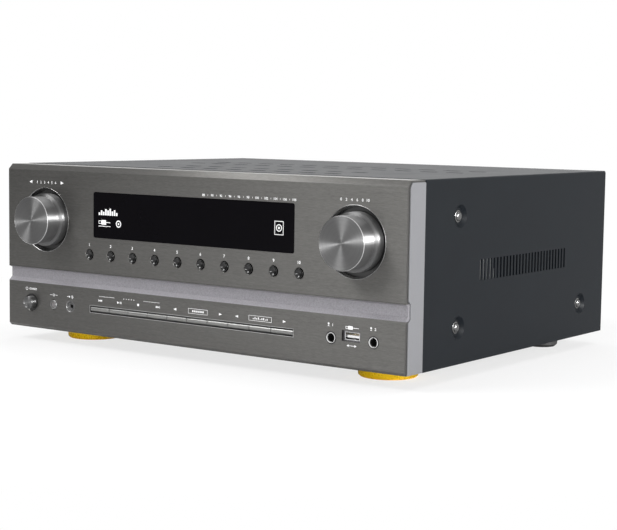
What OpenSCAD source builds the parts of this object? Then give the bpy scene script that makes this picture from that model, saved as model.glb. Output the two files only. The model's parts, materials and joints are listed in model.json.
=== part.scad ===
// Stereo receiver: a full-width component with a folded steel case, brushed front plates,
// two recessed rotary knobs, a row of round source buttons and a strip of play keys.
// Millimetres. +Z is up, the front plates face -Y and +X is to the viewer's right.
// The origin is on the surface that the feet stand on, below the middle of the whole box.

/* [Case] */
// Width of the case over its end caps
body_w = 430; // [424:0.5:445]
// Height of the case from its underside to the top of the cover
body_h = 147.6; // [142:0.2:165]
// Depth from the front plates to the rear edge of the cover's sides
body_d = 335.5; // [320:0.5:380]
// Thickness of the folded steel sheets
sheet_t = 1.2; // [0.8:0.1:1.6]
// Outer radius of the cover's long folds
fold_r = 2; // [1.5:0.5:4]
// Height of the lip that the cover folds down over the rear panel
rear_lip_h = 14; // [12:0.5:20]
// Gap between fixed pieces that fit into each other
fit_gap = 0.2; // [0.1:0.05:0.3]
// Gap around pieces that move
run_gap = 0.3; // [0.3:0.05:0.5]

/* [Front plates] */
// Thickness of the upper and lower front plates
plate_t = 3.4; // [3:0.1:4]
// Height of the lower plate
lower_plate_h = 41.5; // [40:0.1:44]
// Height of the sunken band between the plates
band_h = 13; // [11:0.5:15]
// Depth of the sunken band
band_depth = 3.5; // [2.5:0.1:3.8]
// Height of the slope that leads down from the band to the lower plate
band_slope = 3.5; // [2:0.1:5]
// Height of the slope along the top of the upper plate
top_slope_h = 4.6; // [3:0.1:5.4]
// Depth of the slope along the top of the upper plate
top_slope_d = 4.6; // [4.4:0.1:6]
// Thickness of the upper plate where it turns back over the top
top_turn_t = 1.5; // [1.2:0.1:2]
// Height of the cover's top above the upper plate's turned-back top
top_step = 0.3; // [0.1:0.1:0.5]
// Slope along the bottom edge of the lower plate
bottom_slope = 2.5; // [1:0.1:3]
// Wall of the plastic front frame
frame_t = 2.6; // [2.4:0.1:3.2]
// Thickness of the end caps
cap_t = 3; // [2:0.1:4]
// Depth of the end caps and the front frame
cap_d = 24.4; // [24:0.2:28]
// How far the end caps stand out past the ends of the plates
cap_proud = 0.7; // [0.3:0.1:1.2]

/* [Knobs] */
// Distance from each end of the case to the axis of its knob
knob_inset = 47.8; // [46:0.2:54]
// Height of the knobs' axes, as a share of the upper plate's height
knob_level = 0.477; // [0.46:0.001:0.49]
// Radius of a knob's grip
knob_r = 21; // [18:0.1:22]
// Radius of the skirt behind the grip
knob_skirt_r = 23.3; // [22.5:0.1:25]
// How far the knobs stand out from the plates
knob_out = 18; // [14:0.1:24]
// Radius of the well that each knob sits in
well_r = 28; // [27:0.1:30]
// Depth of the wells behind the front face
well_depth = 6.5; // [6:0.1:7]
// Radius of the encoder shafts
shaft_r = 3; // [2.5:0.1:3.2]
// Radial gap of an encoder shaft in its bushing
shaft_gap = 0.05; // [0.02:0.01:0.1]

/* [Display] */
// Gap between the well of each knob and the display window
window_margin = 30.2; // [22:0.2:50]
// Height of the display window
window_h = 39.8; // [34:0.2:42]
// Sideways place of the display window and the round buttons
window_x = 0.9; // [-1:0.1:1]
// Height of the window's middle, as a share of the upper plate's height
window_level = 0.555; // [0.545:0.001:0.57]
// Corner radius of the window
window_corner = 2; // [1:0.5:4]
// Step that holds the window behind the plate
window_step = 2.8; // [2:0.2:3.5]

/* [Round buttons] */
// How far the middles of the outer round buttons are beyond the ends of the window
button_overhang = 4.85; // [-6:0.05:8]
// Height of the round buttons, as a share of the upper plate's height
button_level = 0.178; // [0.16:0.001:0.185]
// Radius of the round buttons
button_r = 3.9; // [3.4:0.1:4.2]
// Height of a round button's dome
dome_h = 2.2; // [1.5:0.1:2.6]
// Travel of the round buttons
button_travel = 1; // [0.5:0.1:1.1]

/* [Play keys] */
// Distance from the small input jack to the left end of the key slot
key_aux_gap = 24.1; // [20:0.1:30]
// Distance from the right end of the key slot to the left microphone jack
key_mic_gap = 36.7; // [30:0.1:42]
// Height of a play key
key_h = 4.5; // [3.5:0.1:5]
// Height of the keys, jacks and power button, as a share of the lower plate's height
jack_level = 0.5614; // [0.55:0.002:0.58]
// Gap above and below the keys in their slot
key_gap = 0.85; // [0.5:0.05:1.2]
// Travel of the play keys
key_travel = 0.8; // [0.4:0.1:1.1]

/* [Power button] */
// Distance from the left end of the case to the power button
power_inset = 29.6; // [28:0.2:31]
// Radius of the power button
power_r = 5.75; // [5:0.05:6.4]
// Radius of the hole around the power button
power_hole_r = 7.7; // [7.2:0.1:8.2]
// How far the power button stands out
power_out = 5.3; // [3:0.1:8]
// Travel of the power button
power_travel = 2.5; // [1:0.1:2.8]

/* [Jacks] */
// Distance from the power button to the standby lens
standby_gap = 28.4; // [27:0.2:31]
// Radius of the standby lens
standby_r = 4; // [3:0.1:4.2]
// Distance from the standby lens to the small input jack
aux_gap = 20.7; // [20:0.1:23]
// Radius of the small input jack's bore, for a 3.5 mm plug
aux_bore_r = 1.8; // [1.76:0.01:1.9]
// Radius of the small input jack's collar
aux_collar_r = 3.7; // [3.2:0.1:4]
// Distance from the right end of the case to the right microphone jack
mic_inset = 28.9; // [28:0.1:31]
// Distance between the microphone jacks
mic_pitch = 39.6; // [39:0.1:41]
// Radius of a microphone jack's bore, for a 6.35 mm plug
mic_bore_r = 3.25; // [3.2:0.01:3.35]
// Radius of a microphone jack's collar
mic_collar_r = 4.3; // [4.1:0.1:5]
// Height of the USB socket above the line of the jacks
usb_rise = 2.7; // [1.8:0.1:3.6]
// Width of the cut-out around the USB socket
usb_cut_w = 17.3; // [16:0.1:18]
// Height of the cut-out around the USB socket
usb_cut_h = 8.5; // [7.6:0.1:9]

/* [Feet] */
// Height of the feet
foot_h = 12; // [10:0.5:16]
// Radius of the front feet
front_foot_r = 25; // [20:0.5:28]
// Radius of the rear feet
rear_foot_r = 16.5; // [14:0.5:20]
// Distance from each end of the case to the middle of its front foot
front_foot_inset = 52.5; // [44:0.5:64]
// Distance of the front feet behind the front
front_foot_y = 57.5; // [54:0.5:64]
// Distance from each end of the case to the middle of its rear foot
rear_foot_side = 36.5; // [31:0.5:56]
// Distance of the rear feet in front of the rear edge
rear_foot_inset = 48.5; // [36:0.5:60]

/* [Cover] */
// Number of upright slots in each side
side_slots = 28; // [10:1:32]
// Distance between the slots of a side
side_slot_pitch = 5.42; // [4.6:0.02:5.6]
// Width of a side slot
side_slot_w = 2.6; // [1.6:0.1:3]
// Height of a side slot
side_slot_h = 17; // [10:0.5:24]
// Height of the side slots' middle above the underside
side_slot_z = 72.8; // [64:0.2:80]
// Distance of the first side slot behind the front
side_slot_y = 110.3; // [104:0.2:114]
// Number of slots in each of the two front rows on the top
top_slots_front = 8; // [4:1:12]
// Number of slots in each of the two rear rows on the top
top_slots_rear = 12; // [4:1:14]
// Distance between the slots of a top row
top_slot_pitch = 26; // [21:0.5:28]
// Length of a top slot, along the width
top_slot_l = 17; // [10:0.5:19]
// Width of a top slot, from front to back
top_slot_w = 6; // [3:0.1:8]
// Sideways place of the rows of top slots
top_slot_x = 13; // [0:1:20]
// Distance from the front to the middle of the first row of top slots
top_row_front = 59; // [50:1:70]
// Distance from the front to the middle of the third row of top slots
top_row_rear = 165; // [150:1:175]
// Distance between the two rows of a pair
top_row_pitch = 39; // [20:1:50]
// Radius of the pressed dimples around the cover screws
dimple_r = 9.4; // [8.5:0.1:11]
// Depth of the dimples
dimple_depth = 2.6; // [2.5:0.1:3.2]

/* [Screws] */
// Radius of a case screw's shank
screw_r = 1.9; // [1.5:0.1:2]
// Radius of a case screw's head
screw_head_r = 5; // [4:0.1:5.2]
// Height of a case screw's head
screw_head_h = 2.4; // [1.8:0.1:2.4]
// Length of a case screw below its head
screw_l = 8; // [7:0.5:9]

/* [Rear] */
// How far the speaker terminals stand out behind the rear panel
terminal_out = 14; // [13:0.5:15]
// Distance between neighbouring speaker terminals
terminal_pitch = 16; // [15.2:0.1:18]
// Length of a terminal lever
lever_l = 12; // [10:0.5:13]
// Angle of a released lever above level
lever_rest = 35; // [30:1:36]
// Distance between the phono jacks
phono_pitch = 18; // [14:0.5:19]
// How far the phono jacks stand out
phono_out = 9.5; // [8:0.5:12]

/* [Inside] */
// Outer radius of the toroidal transformer
toroid_r = 58; // [45:1:60]
// Height of the toroidal transformer
toroid_h = 55; // [40:1:60]
// Height of the heat sink
sink_h = 95; // [70:1:110]
// Number of heat sink fins
sink_fins = 20; // [10:1:24]
// Radius of the filter capacitors
capacitor_r = 17.5; // [12:0.5:20]
// Height of the filter capacitors
capacitor_h = 50; // [30:1:60]
// Thickness of the circuit boards
board_t = 1.6; // [1.2:0.1:2]
// Height of the standoffs under the amplifier board
standoff_h = 7; // [5:0.5:10]

/* [Hidden] */
$fn = 64;
eps = 0.01;
chamfer = 0.5;

// Layers of the front, counted back from the front face
frame_back = plate_t + frame_t;
board_y = frame_back + 7;
flange_y = frame_back + run_gap;
flange_t = 1.2;
flange_back = flange_y + flange_t;

// Heights
upper_plate_z = lower_plate_h + band_h;
plate_top = body_h - top_step;
cover_under = body_h - sheet_t;
cover_side_x = body_w / 2 - sheet_t;
plate_half = body_w / 2 - cap_proud;
frame_half = body_w / 2 - cap_t;
chassis_half = body_w / 2 - dimple_depth - sheet_t;
panel_half = cover_side_x - fit_gap;
upper_plate_h = plate_top - upper_plate_z;
slope_foot_z = plate_top - top_slope_h - 0.8;
turn_under_z = plate_top - top_turn_t;
cover_front = cap_d + fit_gap;
cover_ledge = 5;
panel_in = body_d - sheet_t;

// Buttons and keys
button_count = 10;
key_count = 10;
stem_r = 1.6;
stem_gap = 0.35;
switch_front = board_y - 3.5;
switch_size = 6.2;
stem_end = board_y - 2;
knob_x = body_w / 2 - knob_inset;
knob_z = upper_plate_z + knob_level * upper_plate_h;
window_w = 2 * (knob_x - well_r - window_margin);
window_z = upper_plate_z + window_level * upper_plate_h;
button_pitch = (window_w + 2 * button_overhang) / (button_count - 1);
button_z = upper_plate_z + button_level * upper_plate_h;
button_hole_r = button_r + 0.5;
button_flange_r = button_hole_r + 1.4;
key_space = 0.5;
jack_z = jack_level * lower_plate_h;
power_x = body_w / 2 - power_inset;
standby_x = power_x - standby_gap;
aux_x = standby_x - aux_gap;
mic_1_x = body_w / 2 - mic_inset - mic_pitch;
slot_x0 = key_aux_gap - aux_x;
slot_w = mic_1_x - key_mic_gap - slot_x0;
key_x = slot_x0 + slot_w / 2;
key_pitch = (slot_w - 1) / key_count;
key_w = key_pitch - key_space;
slot_h = key_h + 2 * key_gap;
key_flange_h = slot_h + 2.6;
key_crest = 1.4;

// Power button
power_guide_r = power_r + 0.5;
power_flange_r = power_guide_r + 2.2;
power_stem_r = 2.2;
power_switch_y = flange_back + power_travel + run_gap;
power_stem_end = power_switch_y + 4;
power_post_x = power_flange_r + 3;
post_r = 2;

// Knobs and encoders
well_wall = 1.6;
well_lip = 0.8;
well_in = well_r - well_lip;
well_out = well_in + well_wall;
well_floor_t = 1.5;
well_back = well_depth + well_floor_t;
knob_back = well_depth - 1.3;
bushing_r = 4.4;
bushing_front = 3.5;
encoder_size = 14;
shaft_end = board_y - 1.3;

// Standby lens, jacks and their holes
hole_gap = 0.25;
mic_hole_gap = 0.5;
mic_body_w = 16;
mic_body_h = 15;
mic_body_l = 30;
mic_out = 0.8;
aux_in = 1.2;
usb_w = 13.6;
usb_h = 6.2;
usb_in = 2.2;
usb_l = 16;
usb_wall = 0.4;
usb_x = mic_1_x + mic_pitch / 2 - 1;
usb_z = jack_z + usb_rise;
io_board_z = jack_z - mic_body_h / 2 - board_t;
io_board_d = 34;
io_board_left = 32;
io_board_right = 30;

// Front board, its posts and the chassis wall around it
board_side = 14;
board_post_in = 6;
board_post_r = 3;
board_top = turn_under_z - 5.8;
board_step_z = upper_plate_z - 10.5;
board_low_z = 4;
board_low_post_z = board_low_z + 5;
board_low_x0 = -standby_x - 9;
board_low_x1 = mic_1_x - mic_body_w / 2 - 10.5;
board_lap = 2;
rim_side = 13;
rim_low = 11;
rim_high = 9;
rim_top = plate_top - 11.3;

// Feet and screws
screw_hole_r = screw_r + fit_gap;
foot_well_r = screw_head_r + 1;
foot_well_depth = foot_h - 4;
rear_foot_y = body_d - rear_foot_inset;
side_screw_front_y = 76.4;
side_screw_rear_y = body_d - 45.4;
side_screw_low_z = 29.3;
side_screw_high_z = body_h - 30.2;
front_foot_x = body_w / 2 - front_foot_inset;
rear_foot_x = body_w / 2 - rear_foot_side;
side_wall_h = side_screw_high_z + dimple_r + 3.2;
side_low_h = side_screw_low_z + dimple_r + 7.3;
side_step_y = side_screw_front_y + dimple_r + 24.2;
side_step_d = 40;
lip_screw_x = 0.35 * body_w;
base_screw_x = 0.28 * body_w;
base_screw_z = 8;

// Rear fittings, seen from the front: x is to the right, z is above the underside
terminal_x = 120 - body_w / 2;
terminal_z = 46;
terminal_cells = 4;
terminal_w = terminal_cells * terminal_pitch + 6;
terminal_h = 40;
terminal_flange = 6;
cell_half = 5.3;
hub_y = 6;
hub_z = 7;
hub_r = 2.6;
lever_half = cell_half - run_gap;
lever_t = 2.4;
pivot_r = 1.5;
pivot_gap = 0.05;
pivot_l = 1.6;
lever_tip = hub_y + lever_l * cos(lever_rest) + lever_t / 2 * sin(lever_rest);
phono_x = 20;
phono_z = 0.664 * body_h;
phono_cols = 4;
phono_rows = 2;
phono_r = 4.15;
phono_face = 1;
phono_depth = 12;
inlet_x = body_w / 2 - 50;
inlet_z = 36;
inlet_w = 28;
inlet_h = 20.5;
tuner_x = terminal_x;
tuner_z = 0.759 * body_h;
tuner_w = 56;
tuner_h = 30;
tuner_d = 22;
coax_r = 4.75;
coax_out = 9;
rear_vents = 12;
rear_vent_pitch = 8;
rear_vent_x = body_w / 2 - 119;
rear_vent_w = 3;
rear_vent_h = 34;
rear_reach = body_d + max(terminal_out, lever_tip, phono_face + phono_out, coax_out);

// Middle of the whole box from front to back
mid_y = (rear_reach - knob_out) / 2;

// Inside
floor_z = sheet_t;
amp_z = floor_z + standoff_h;
amp_w = 180;
amp_d = 144;
amp_x1 = chassis_half - 11.2;
amp_x0 = amp_x1 - amp_w;
amp_y0 = 62;
amp_y1 = amp_y0 + amp_d;
amp_post_in = 8;
sink_w = 160;
sink_x0 = amp_x1 - sink_w;
sink_base = 8;
sink_fin_l = 30;
sink_y = amp_y1 + fit_gap + 6;
sink_fin_t = 2;
transistors = 4;
transistor_t = 5;
transistor_w = 16;
transistor_h = 22;
transistor_z = 30;
transistor_in = 26;
transistor_pitch = (sink_w - 2 * transistor_in) / (transistors - 1);
toroid_x = 100 - body_w / 2;
toroid_y = 150;
toroid_bore = 18;
toroid_round = 8;
capacitor_x = amp_x0 + capacitor_r + 12.5;
capacitor_y = amp_y0 + capacitor_r + 16.5;
capacitor_pitch = 2 * capacitor_r + 9;
coil_x = amp_x1 - 50;
coil_y = amp_y0 + 34;
coil_pitch = 26;
coil_r = 6;
coil_h = 22;
relay_x = amp_x0 + 10;
relay_y = amp_y0 + 88;
relay_w = 62;
relay_d = 18;
relay_h = 14;
ribbon_w = 32;
ribbon_x = amp_x0 + 70;
ribbon_t = 1;
ribbon_z = upper_plate_z + 1.5;
ribbon_low_z = ribbon_z - 16;
ribbon_fold_y = 40;
ribbon_end_y = amp_y0 + 12;
floor_vents = 8;
floor_vent_pitch = 12;
floor_vent_rows = 3;
floor_vent_row_pitch = 26;
floor_vent_w = 4;
floor_vent_l = 20;
floor_vent_y = body_d - 95.5;

// ---------- placing helpers ----------

// Lifts a piece from the case's own frame, front face at y = 0 and underside at z = 0
module place() {
    translate([0, -mid_y, foot_h]) children();
}

// Extrudes an outline drawn in X and Z from y0 back to y1
module along_y(y0, y1) {
    translate([0, y1, 0]) rotate([90, 0, 0]) linear_extrude(y1 - y0) children();
}

// Extrudes an outline drawn in Y and Z from x0 to x1
module along_x(x0, x1) {
    translate([x0, 0, 0]) rotate([90, 0, 90]) linear_extrude(x1 - x0) children();
}

// A round bar along Y from y0 back to y1
module bar_y(x, z, y0, y1, r) {
    translate([x, y1, z]) rotate([90, 0, 0]) cylinder(r = r, h = y1 - y0);
}

// A cone along Y, r0 at y0 and r1 at y1
module cone_y(x, z, y0, y1, r0, r1) {
    translate([x, y1, z]) rotate([90, 0, 0]) cylinder(r1 = r1, r2 = r0, h = y1 - y0);
}

// A block between two corners
module block(low, high) {
    translate(low) cube(high - low);
}

// A flat rectangle about a point, with round corners of radius r
module round_rect(x, z, w, h, r) {
    translate([x - w / 2 + r, z - h / 2]) square([w - 2 * r, h]);
    translate([x - w / 2, z - h / 2 + r]) square([w, h - 2 * r]);
    for (sx = [-1, 1], sz = [-1, 1])
        translate([x + sx * (w / 2 - r), z + sz * (h / 2 - r)]) circle(r);
}

// A round rod with a chamfered hole cut, used to bore the plates
module plate_hole(x, z, r, edge = chamfer) {
    bar_y(x, z, -1, plate_t + 1, r);
    cone_y(x, z, -eps, edge, r + edge + eps, r);
}

// ---------- places of the buttons and keys ----------

function button_x(n) = window_x + (n - (button_count + 1) / 2) * button_pitch;
function play_key_x(n) = key_x + (n - (key_count + 1) / 2) * key_pitch;
function cell_x(n) = (n - (terminal_cells + 1) / 2) * terminal_pitch;

// ---------- case ----------

// Outline of the cover: straight sides with two round folds at the top
module cover_outline(inset) {
    half = body_w / 2 - inset;
    top = body_h - inset;
    r = fold_r - inset;
    translate([-half, 0]) square([2 * half, top - r]);
    translate([-half + r, 0]) square([2 * (half - r), top]);
    for (side = [-1, 1]) translate([side * (half - r), top - r]) circle(r);
}

// One pressed dimple, as a dish whose flat floor lies dimple_depth below the skin, opening to +Z
module dimple_dish() {
    floor_r = dimple_r - dimple_depth;
    rotate_extrude()
        polygon([[screw_hole_r, -dimple_depth - sheet_t],
                 [floor_r + sheet_t / 2, -dimple_depth - sheet_t],
                 [dimple_r + sheet_t / 2, -sheet_t], [dimple_r + sheet_t / 2, 0], [dimple_r, 0],
                 [floor_r, -dimple_depth], [screw_hole_r, -dimple_depth]]);
}

// Places of the cover's side screws, as Y and Z
side_screws = [[side_screw_front_y, side_screw_high_z], [side_screw_front_y, side_screw_low_z],
               [side_screw_rear_y, side_screw_low_z]];

// Repeats a piece drawn on +Z at each side screw, turned to point out of the case
module at_side_screws(x) {
    for (side = [-1, 1], p = side_screws)
        translate([side * x, p[0], p[1]]) rotate([0, side * 90, 0]) children();
}

module top_slot_rows() {
    for (pair = [[top_row_front, top_slots_front], [top_row_rear, top_slots_rear]], row = [0, 1],
         n = [0 : pair[1] - 1])
        translate([top_slot_x + (n - (pair[1] - 1) / 2) * top_slot_pitch, pair[0] + row * top_row_pitch])
            round_rect(0, 0, top_slot_l, top_slot_w, top_slot_w / 2 - eps);
}

module top_cover() color([0.17, 0.18, 0.2]) {
    difference() {
        union() {
            along_y(cover_front, body_d) difference() {
                cover_outline(0);
                cover_outline(sheet_t);
                translate([-cover_side_x, -1]) square([2 * cover_side_x, 2]);
            }
            block([-panel_half, body_d - 1, cover_under],
                  [panel_half, body_d + sheet_t, body_h]);
            block([-panel_half, body_d, body_h - rear_lip_h],
                  [panel_half, body_d + sheet_t, body_h]);
        }
        at_side_screws(body_w / 2)
            translate([0, 0, -sheet_t - 1]) cylinder(r = dimple_r, h = sheet_t + 2);
        translate([0, 0, cover_under - 1]) linear_extrude(sheet_t + 2) top_slot_rows();
        for (n = [0 : side_slots - 1])
            translate([0, side_slot_y + n * side_slot_pitch, side_slot_z])
                cube([2 * body_w, side_slot_w, side_slot_h], center = true);
        for (x = [-lip_screw_x, 0, lip_screw_x])
            bar_y(x, body_h - rear_lip_h / 2, body_d - 1, body_d + sheet_t + 1, screw_hole_r);
    }
    at_side_screws(body_w / 2) dimple_dish();
}

// Side wall of the chassis: tall behind the front, then low along the rest
module chassis_side_outline() {
    polygon([[cap_d, 0], [panel_in, 0], [panel_in, side_low_h], [side_step_y + side_step_d, side_low_h],
             [side_step_y, side_wall_h], [cap_d, side_wall_h]]);
}

module chassis_base() color([0.55, 0.56, 0.57]) {
    difference() {
        union() {
            block([-chassis_half, cap_d, 0], [chassis_half, panel_in, sheet_t]);
            for (side = [-1, 1])
                along_x(side * (chassis_half - sheet_t / 2) - sheet_t / 2,
                        side * (chassis_half - sheet_t / 2) + sheet_t / 2)
                    chassis_side_outline();
            along_y(cap_d, cap_d + sheet_t) difference() {
                translate([-chassis_half, 0]) square([2 * chassis_half, rim_top]);
                round_rect(0, (rim_low + rim_top - rim_high) / 2, 2 * (chassis_half - rim_side),
                           rim_top - rim_high - rim_low, 6);
            }
            along_y(panel_in - sheet_t, panel_in)
                translate([-chassis_half, 0]) square([2 * chassis_half, 2 * base_screw_z]);
            for (p = amp_posts) translate([p[0], p[1], 0]) cylinder(r = 4, h = amp_z);
        }
        at_side_screws(chassis_half)
            translate([0, 0, -2 * sheet_t]) cylinder(r = screw_hole_r, h = 4 * sheet_t);
        for (p = foot_places) translate([p[0], p[1], -1]) cylinder(r = screw_hole_r, h = sheet_t + 2);
        for (x = [-base_screw_x, 0, base_screw_x])
            bar_y(x, base_screw_z, panel_in - sheet_t - 1, panel_in + 1, screw_hole_r);
        for (row = [0 : floor_vent_rows - 1], n = [0 : floor_vents - 1])
            translate([toroid_x + (n - (floor_vents - 1) / 2) * floor_vent_pitch,
                       floor_vent_y + row * floor_vent_row_pitch, -1])
                linear_extrude(sheet_t + 2) round_rect(0, 0, floor_vent_w, floor_vent_l, 1.9);
    }
}

amp_posts = [for (x = [amp_x0 + amp_post_in, amp_x1 - amp_post_in],
                  y = [amp_y0 + amp_post_in, amp_y1 - amp_post_in]) [x, y]];
foot_places = [for (side = [-1, 1]) [side * front_foot_x, front_foot_y],
               for (side = [-1, 1]) [side * rear_foot_x, rear_foot_y]];

// An opening in the rear panel around a fitting of width w and height h
module panel_opening(x, z, w, h) {
    round_rect(x, z, w + 2 * fit_gap, h + 2 * fit_gap, 1);
}

module rear_panel() color([0.14, 0.145, 0.155]) {
    along_y(panel_in, body_d) difference() {
        translate([-panel_half, fit_gap]) square([2 * panel_half, cover_under - 2 * fit_gap]);
        panel_opening(terminal_x, terminal_z, terminal_w - 4, terminal_h - 8);
        panel_opening(phono_x, phono_z, phono_width(), phono_height());
        panel_opening(inlet_x, inlet_z, inlet_w, inlet_h);
        for (side = [-1, 1]) translate([inlet_x + side * 20, inlet_z]) circle(1.7);
        translate([tuner_x, tuner_z]) circle(coax_r + 1);
        for (x = [-base_screw_x, 0, base_screw_x]) translate([x, base_screw_z]) circle(screw_hole_r);
        for (x = [-lip_screw_x, 0, lip_screw_x])
            translate([x, body_h - rear_lip_h / 2]) circle(screw_hole_r);
        for (n = [0 : rear_vents - 1]) translate([rear_vent_x + n * rear_vent_pitch, phono_z])
            round_rect(0, 0, rear_vent_w, rear_vent_h, 1.4);
    }
}

// ---------- front ----------

// The frame behind the plates, with its sunken band and the walls that run back to the chassis
module fascia_frame() color([0.56, 0.55, 0.57]) {
    difference() {
        union() {
            // wall behind the plates
            along_y(plate_t, frame_back)
                translate([-frame_half, fit_gap])
                    square([2 * frame_half, plate_top - top_slope_h - 1]);
            // the band, out to the ends of the plates
            along_x(-plate_half, plate_half)
                polygon([[0, lower_plate_h], [band_depth, lower_plate_h + band_slope],
                         [band_depth, upper_plate_z - 1.3], [0.4, upper_plate_z],
                         [frame_back, upper_plate_z], [frame_back, lower_plate_h + 1.5],
                         [plate_t + 0.9, lower_plate_h]]);
            // top wall, with the ledge that carries the cover's front edge
            along_x(-frame_half, frame_half)
                polygon([[plate_t, slope_foot_z - 4], [plate_t, slope_foot_z],
                         [top_slope_d + 1, turn_under_z], [cover_front, turn_under_z],
                         [cover_front, cover_under], [cover_front + cover_ledge, cover_under],
                         [cover_front + cover_ledge, turn_under_z - 2.4],
                         [frame_back, turn_under_z - 2.4], [frame_back, slope_foot_z - 4]]);
            // bottom wall
            block([-frame_half, plate_t, fit_gap], [frame_half, cap_d, 2.4]);
            // end walls
            for (x0 = [-frame_half, frame_half - 2.4]) along_x(x0, x0 + 2.4)
                polygon([[plate_t, fit_gap], [plate_t, slope_foot_z - 1], [top_slope_d + 1, turn_under_z - 1],
                         [cap_d, turn_under_z - 1], [cap_d, fit_gap]]);
            // posts for the front board and the power switch
            for (p = board_posts) bar_y(p[0], p[1], frame_back - eps, board_y, board_post_r);
            for (side = [-1, 1])
                bar_y(-power_x + side * power_post_x, jack_z, frame_back - eps, power_switch_y, post_r);
        }
        // display, wells and buttons
        along_y(plate_t - 1, frame_back + 1)
            round_rect(window_x, window_z, window_w + 2 * window_step + fit_gap,
                       window_h + 2 * window_step + fit_gap, window_corner);
        for (side = [-1, 1]) frame_hole(side * knob_x, knob_z, well_out + fit_gap / 2);
        for (n = [1 : button_count]) frame_hole(button_x(n), button_z, button_hole_r);
        // lower row
        frame_hole(-power_x, jack_z, power_guide_r);
        frame_hole(-standby_x, jack_z, standby_r + hole_gap);
        frame_hole(-aux_x, jack_z, aux_collar_r + hole_gap);
        along_y(plate_t - 1, frame_back + 1)
            translate([key_x - slot_w / 2, jack_z - slot_h / 2]) square([slot_w, slot_h]);
        for (n = [0, 1]) frame_hole(mic_1_x + n * mic_pitch, jack_z, mic_collar_r + hole_gap);
        along_y(plate_t - 1, frame_back + 1)
            round_rect(usb_x, usb_z, usb_w + 2 * hole_gap, usb_h + 2 * hole_gap, 0.6);
    }
}

// A round hole through the frame's front wall
module frame_hole(x, z, r) {
    bar_y(x, z, plate_t - 1, frame_back + 1, r);
}

board_posts = [for (side = [-1, 1], z = [upper_plate_z + 7.5, board_top - board_post_in])
                   [side * (frame_half - board_side - board_post_in), z],
               [board_low_x0 + 22, board_low_post_z], [0, board_low_post_z],
               [board_low_x1 - board_post_in, board_low_post_z]];

// One end cap: a plate with the front's outline, notched for the band
module end_cap_outline() {
    lap = 2.4;
    polygon([[plate_t, fit_gap], [plate_t, lower_plate_h - 1],
             [frame_back + fit_gap, lower_plate_h - 1 + lap - fit_gap],
             [frame_back + fit_gap, upper_plate_z + fit_gap], [plate_t, upper_plate_z + lap],
             [plate_t, slope_foot_z - 0.1], [top_slope_d + 1.2, turn_under_z - fit_gap],
             [cap_d - 0.8, turn_under_z - fit_gap], [cap_d, turn_under_z - 0.8 - fit_gap],
             [cap_d, fit_gap]]);
}

module end_cap(side) {
    color([0.67, 0.67, 0.69])
        along_x(side > 0 ? frame_half : -body_w / 2, side > 0 ? body_w / 2 : -frame_half)
            end_cap_outline();
}

// Outline of the upper plate: front, slope and turned-back top
module upper_plate_outline() {
    polygon([[0, upper_plate_z], [0, plate_top - top_slope_h], [top_slope_d, plate_top],
             [cap_d, plate_top], [cap_d, turn_under_z], [top_slope_d + 1, turn_under_z],
             [plate_t, slope_foot_z], [plate_t, upper_plate_z]]);
}

module upper_plate() color([0.42, 0.415, 0.4]) {
    difference() {
        along_x(-plate_half, plate_half) upper_plate_outline();
        for (side = [-1, 1]) plate_hole(side * knob_x, knob_z, well_r);
        along_y(-1, plate_t + 1)
            round_rect(window_x, window_z, window_w, window_h, window_corner);
        for (n = [1 : button_count]) plate_hole(button_x(n), button_z, button_hole_r);
    }
}

module lower_plate() color([0.42, 0.415, 0.4]) {
    difference() {
        along_x(-plate_half, plate_half)
            polygon([[0, bottom_slope], [0, lower_plate_h], [plate_t, lower_plate_h], [plate_t, 0],
                     [bottom_slope, 0]]);
        plate_hole(-power_x, jack_z, power_hole_r);
        plate_hole(-standby_x, jack_z, standby_r + hole_gap, 0.3);
        plate_hole(-aux_x, jack_z, aux_collar_r + hole_gap, 1.2);
        along_y(-1, plate_t + 1)
            translate([key_x - slot_w / 2, jack_z - slot_h / 2]) square([slot_w, slot_h]);
        for (n = [0, 1]) plate_hole(mic_1_x + n * mic_pitch, jack_z, mic_collar_r + mic_hole_gap, 0.3);
        along_y(-1, plate_t + 1) round_rect(usb_x, usb_z, usb_cut_w, usb_cut_h, 0.4);
    }
}

module display_window() color([0.05, 0.05, 0.06]) {
    along_y(fit_gap, plate_t)
        round_rect(window_x, window_z, window_w - fit_gap, window_h - fit_gap, window_corner);
    along_y(plate_t, plate_t + 1.5)
        round_rect(window_x, window_z, window_w + 2 * window_step,
                   window_h + 2 * window_step, window_corner);
}

// Vacuum fluorescent tube behind the window: glass body, thin rear plate and its row of leads
module display_tube() color([0.2, 0.24, 0.24]) {
    along_y(plate_t + 2.6, board_y - 1) round_rect(window_x, window_z, window_w - 18, window_h - 6, 1);
    along_y(board_y - 1, board_y) round_rect(window_x, window_z, window_w - 10, window_h - 2, 1);
}

module knob_wells() color([0.1, 0.1, 0.11]) {
    for (side = [-1, 1]) translate([side * knob_x, 0, knob_z]) difference() {
        union() {
            bar_y(0, 0, plate_t, well_back, well_out);
            bar_y(0, 0, frame_back, frame_back + 1.2, well_out + 2.4);
        }
        bar_y(0, 0, plate_t - 1, well_depth, well_in);
        bar_y(0, 0, well_depth - 1, well_back + 1, bushing_r + fit_gap);
    }
}

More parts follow.
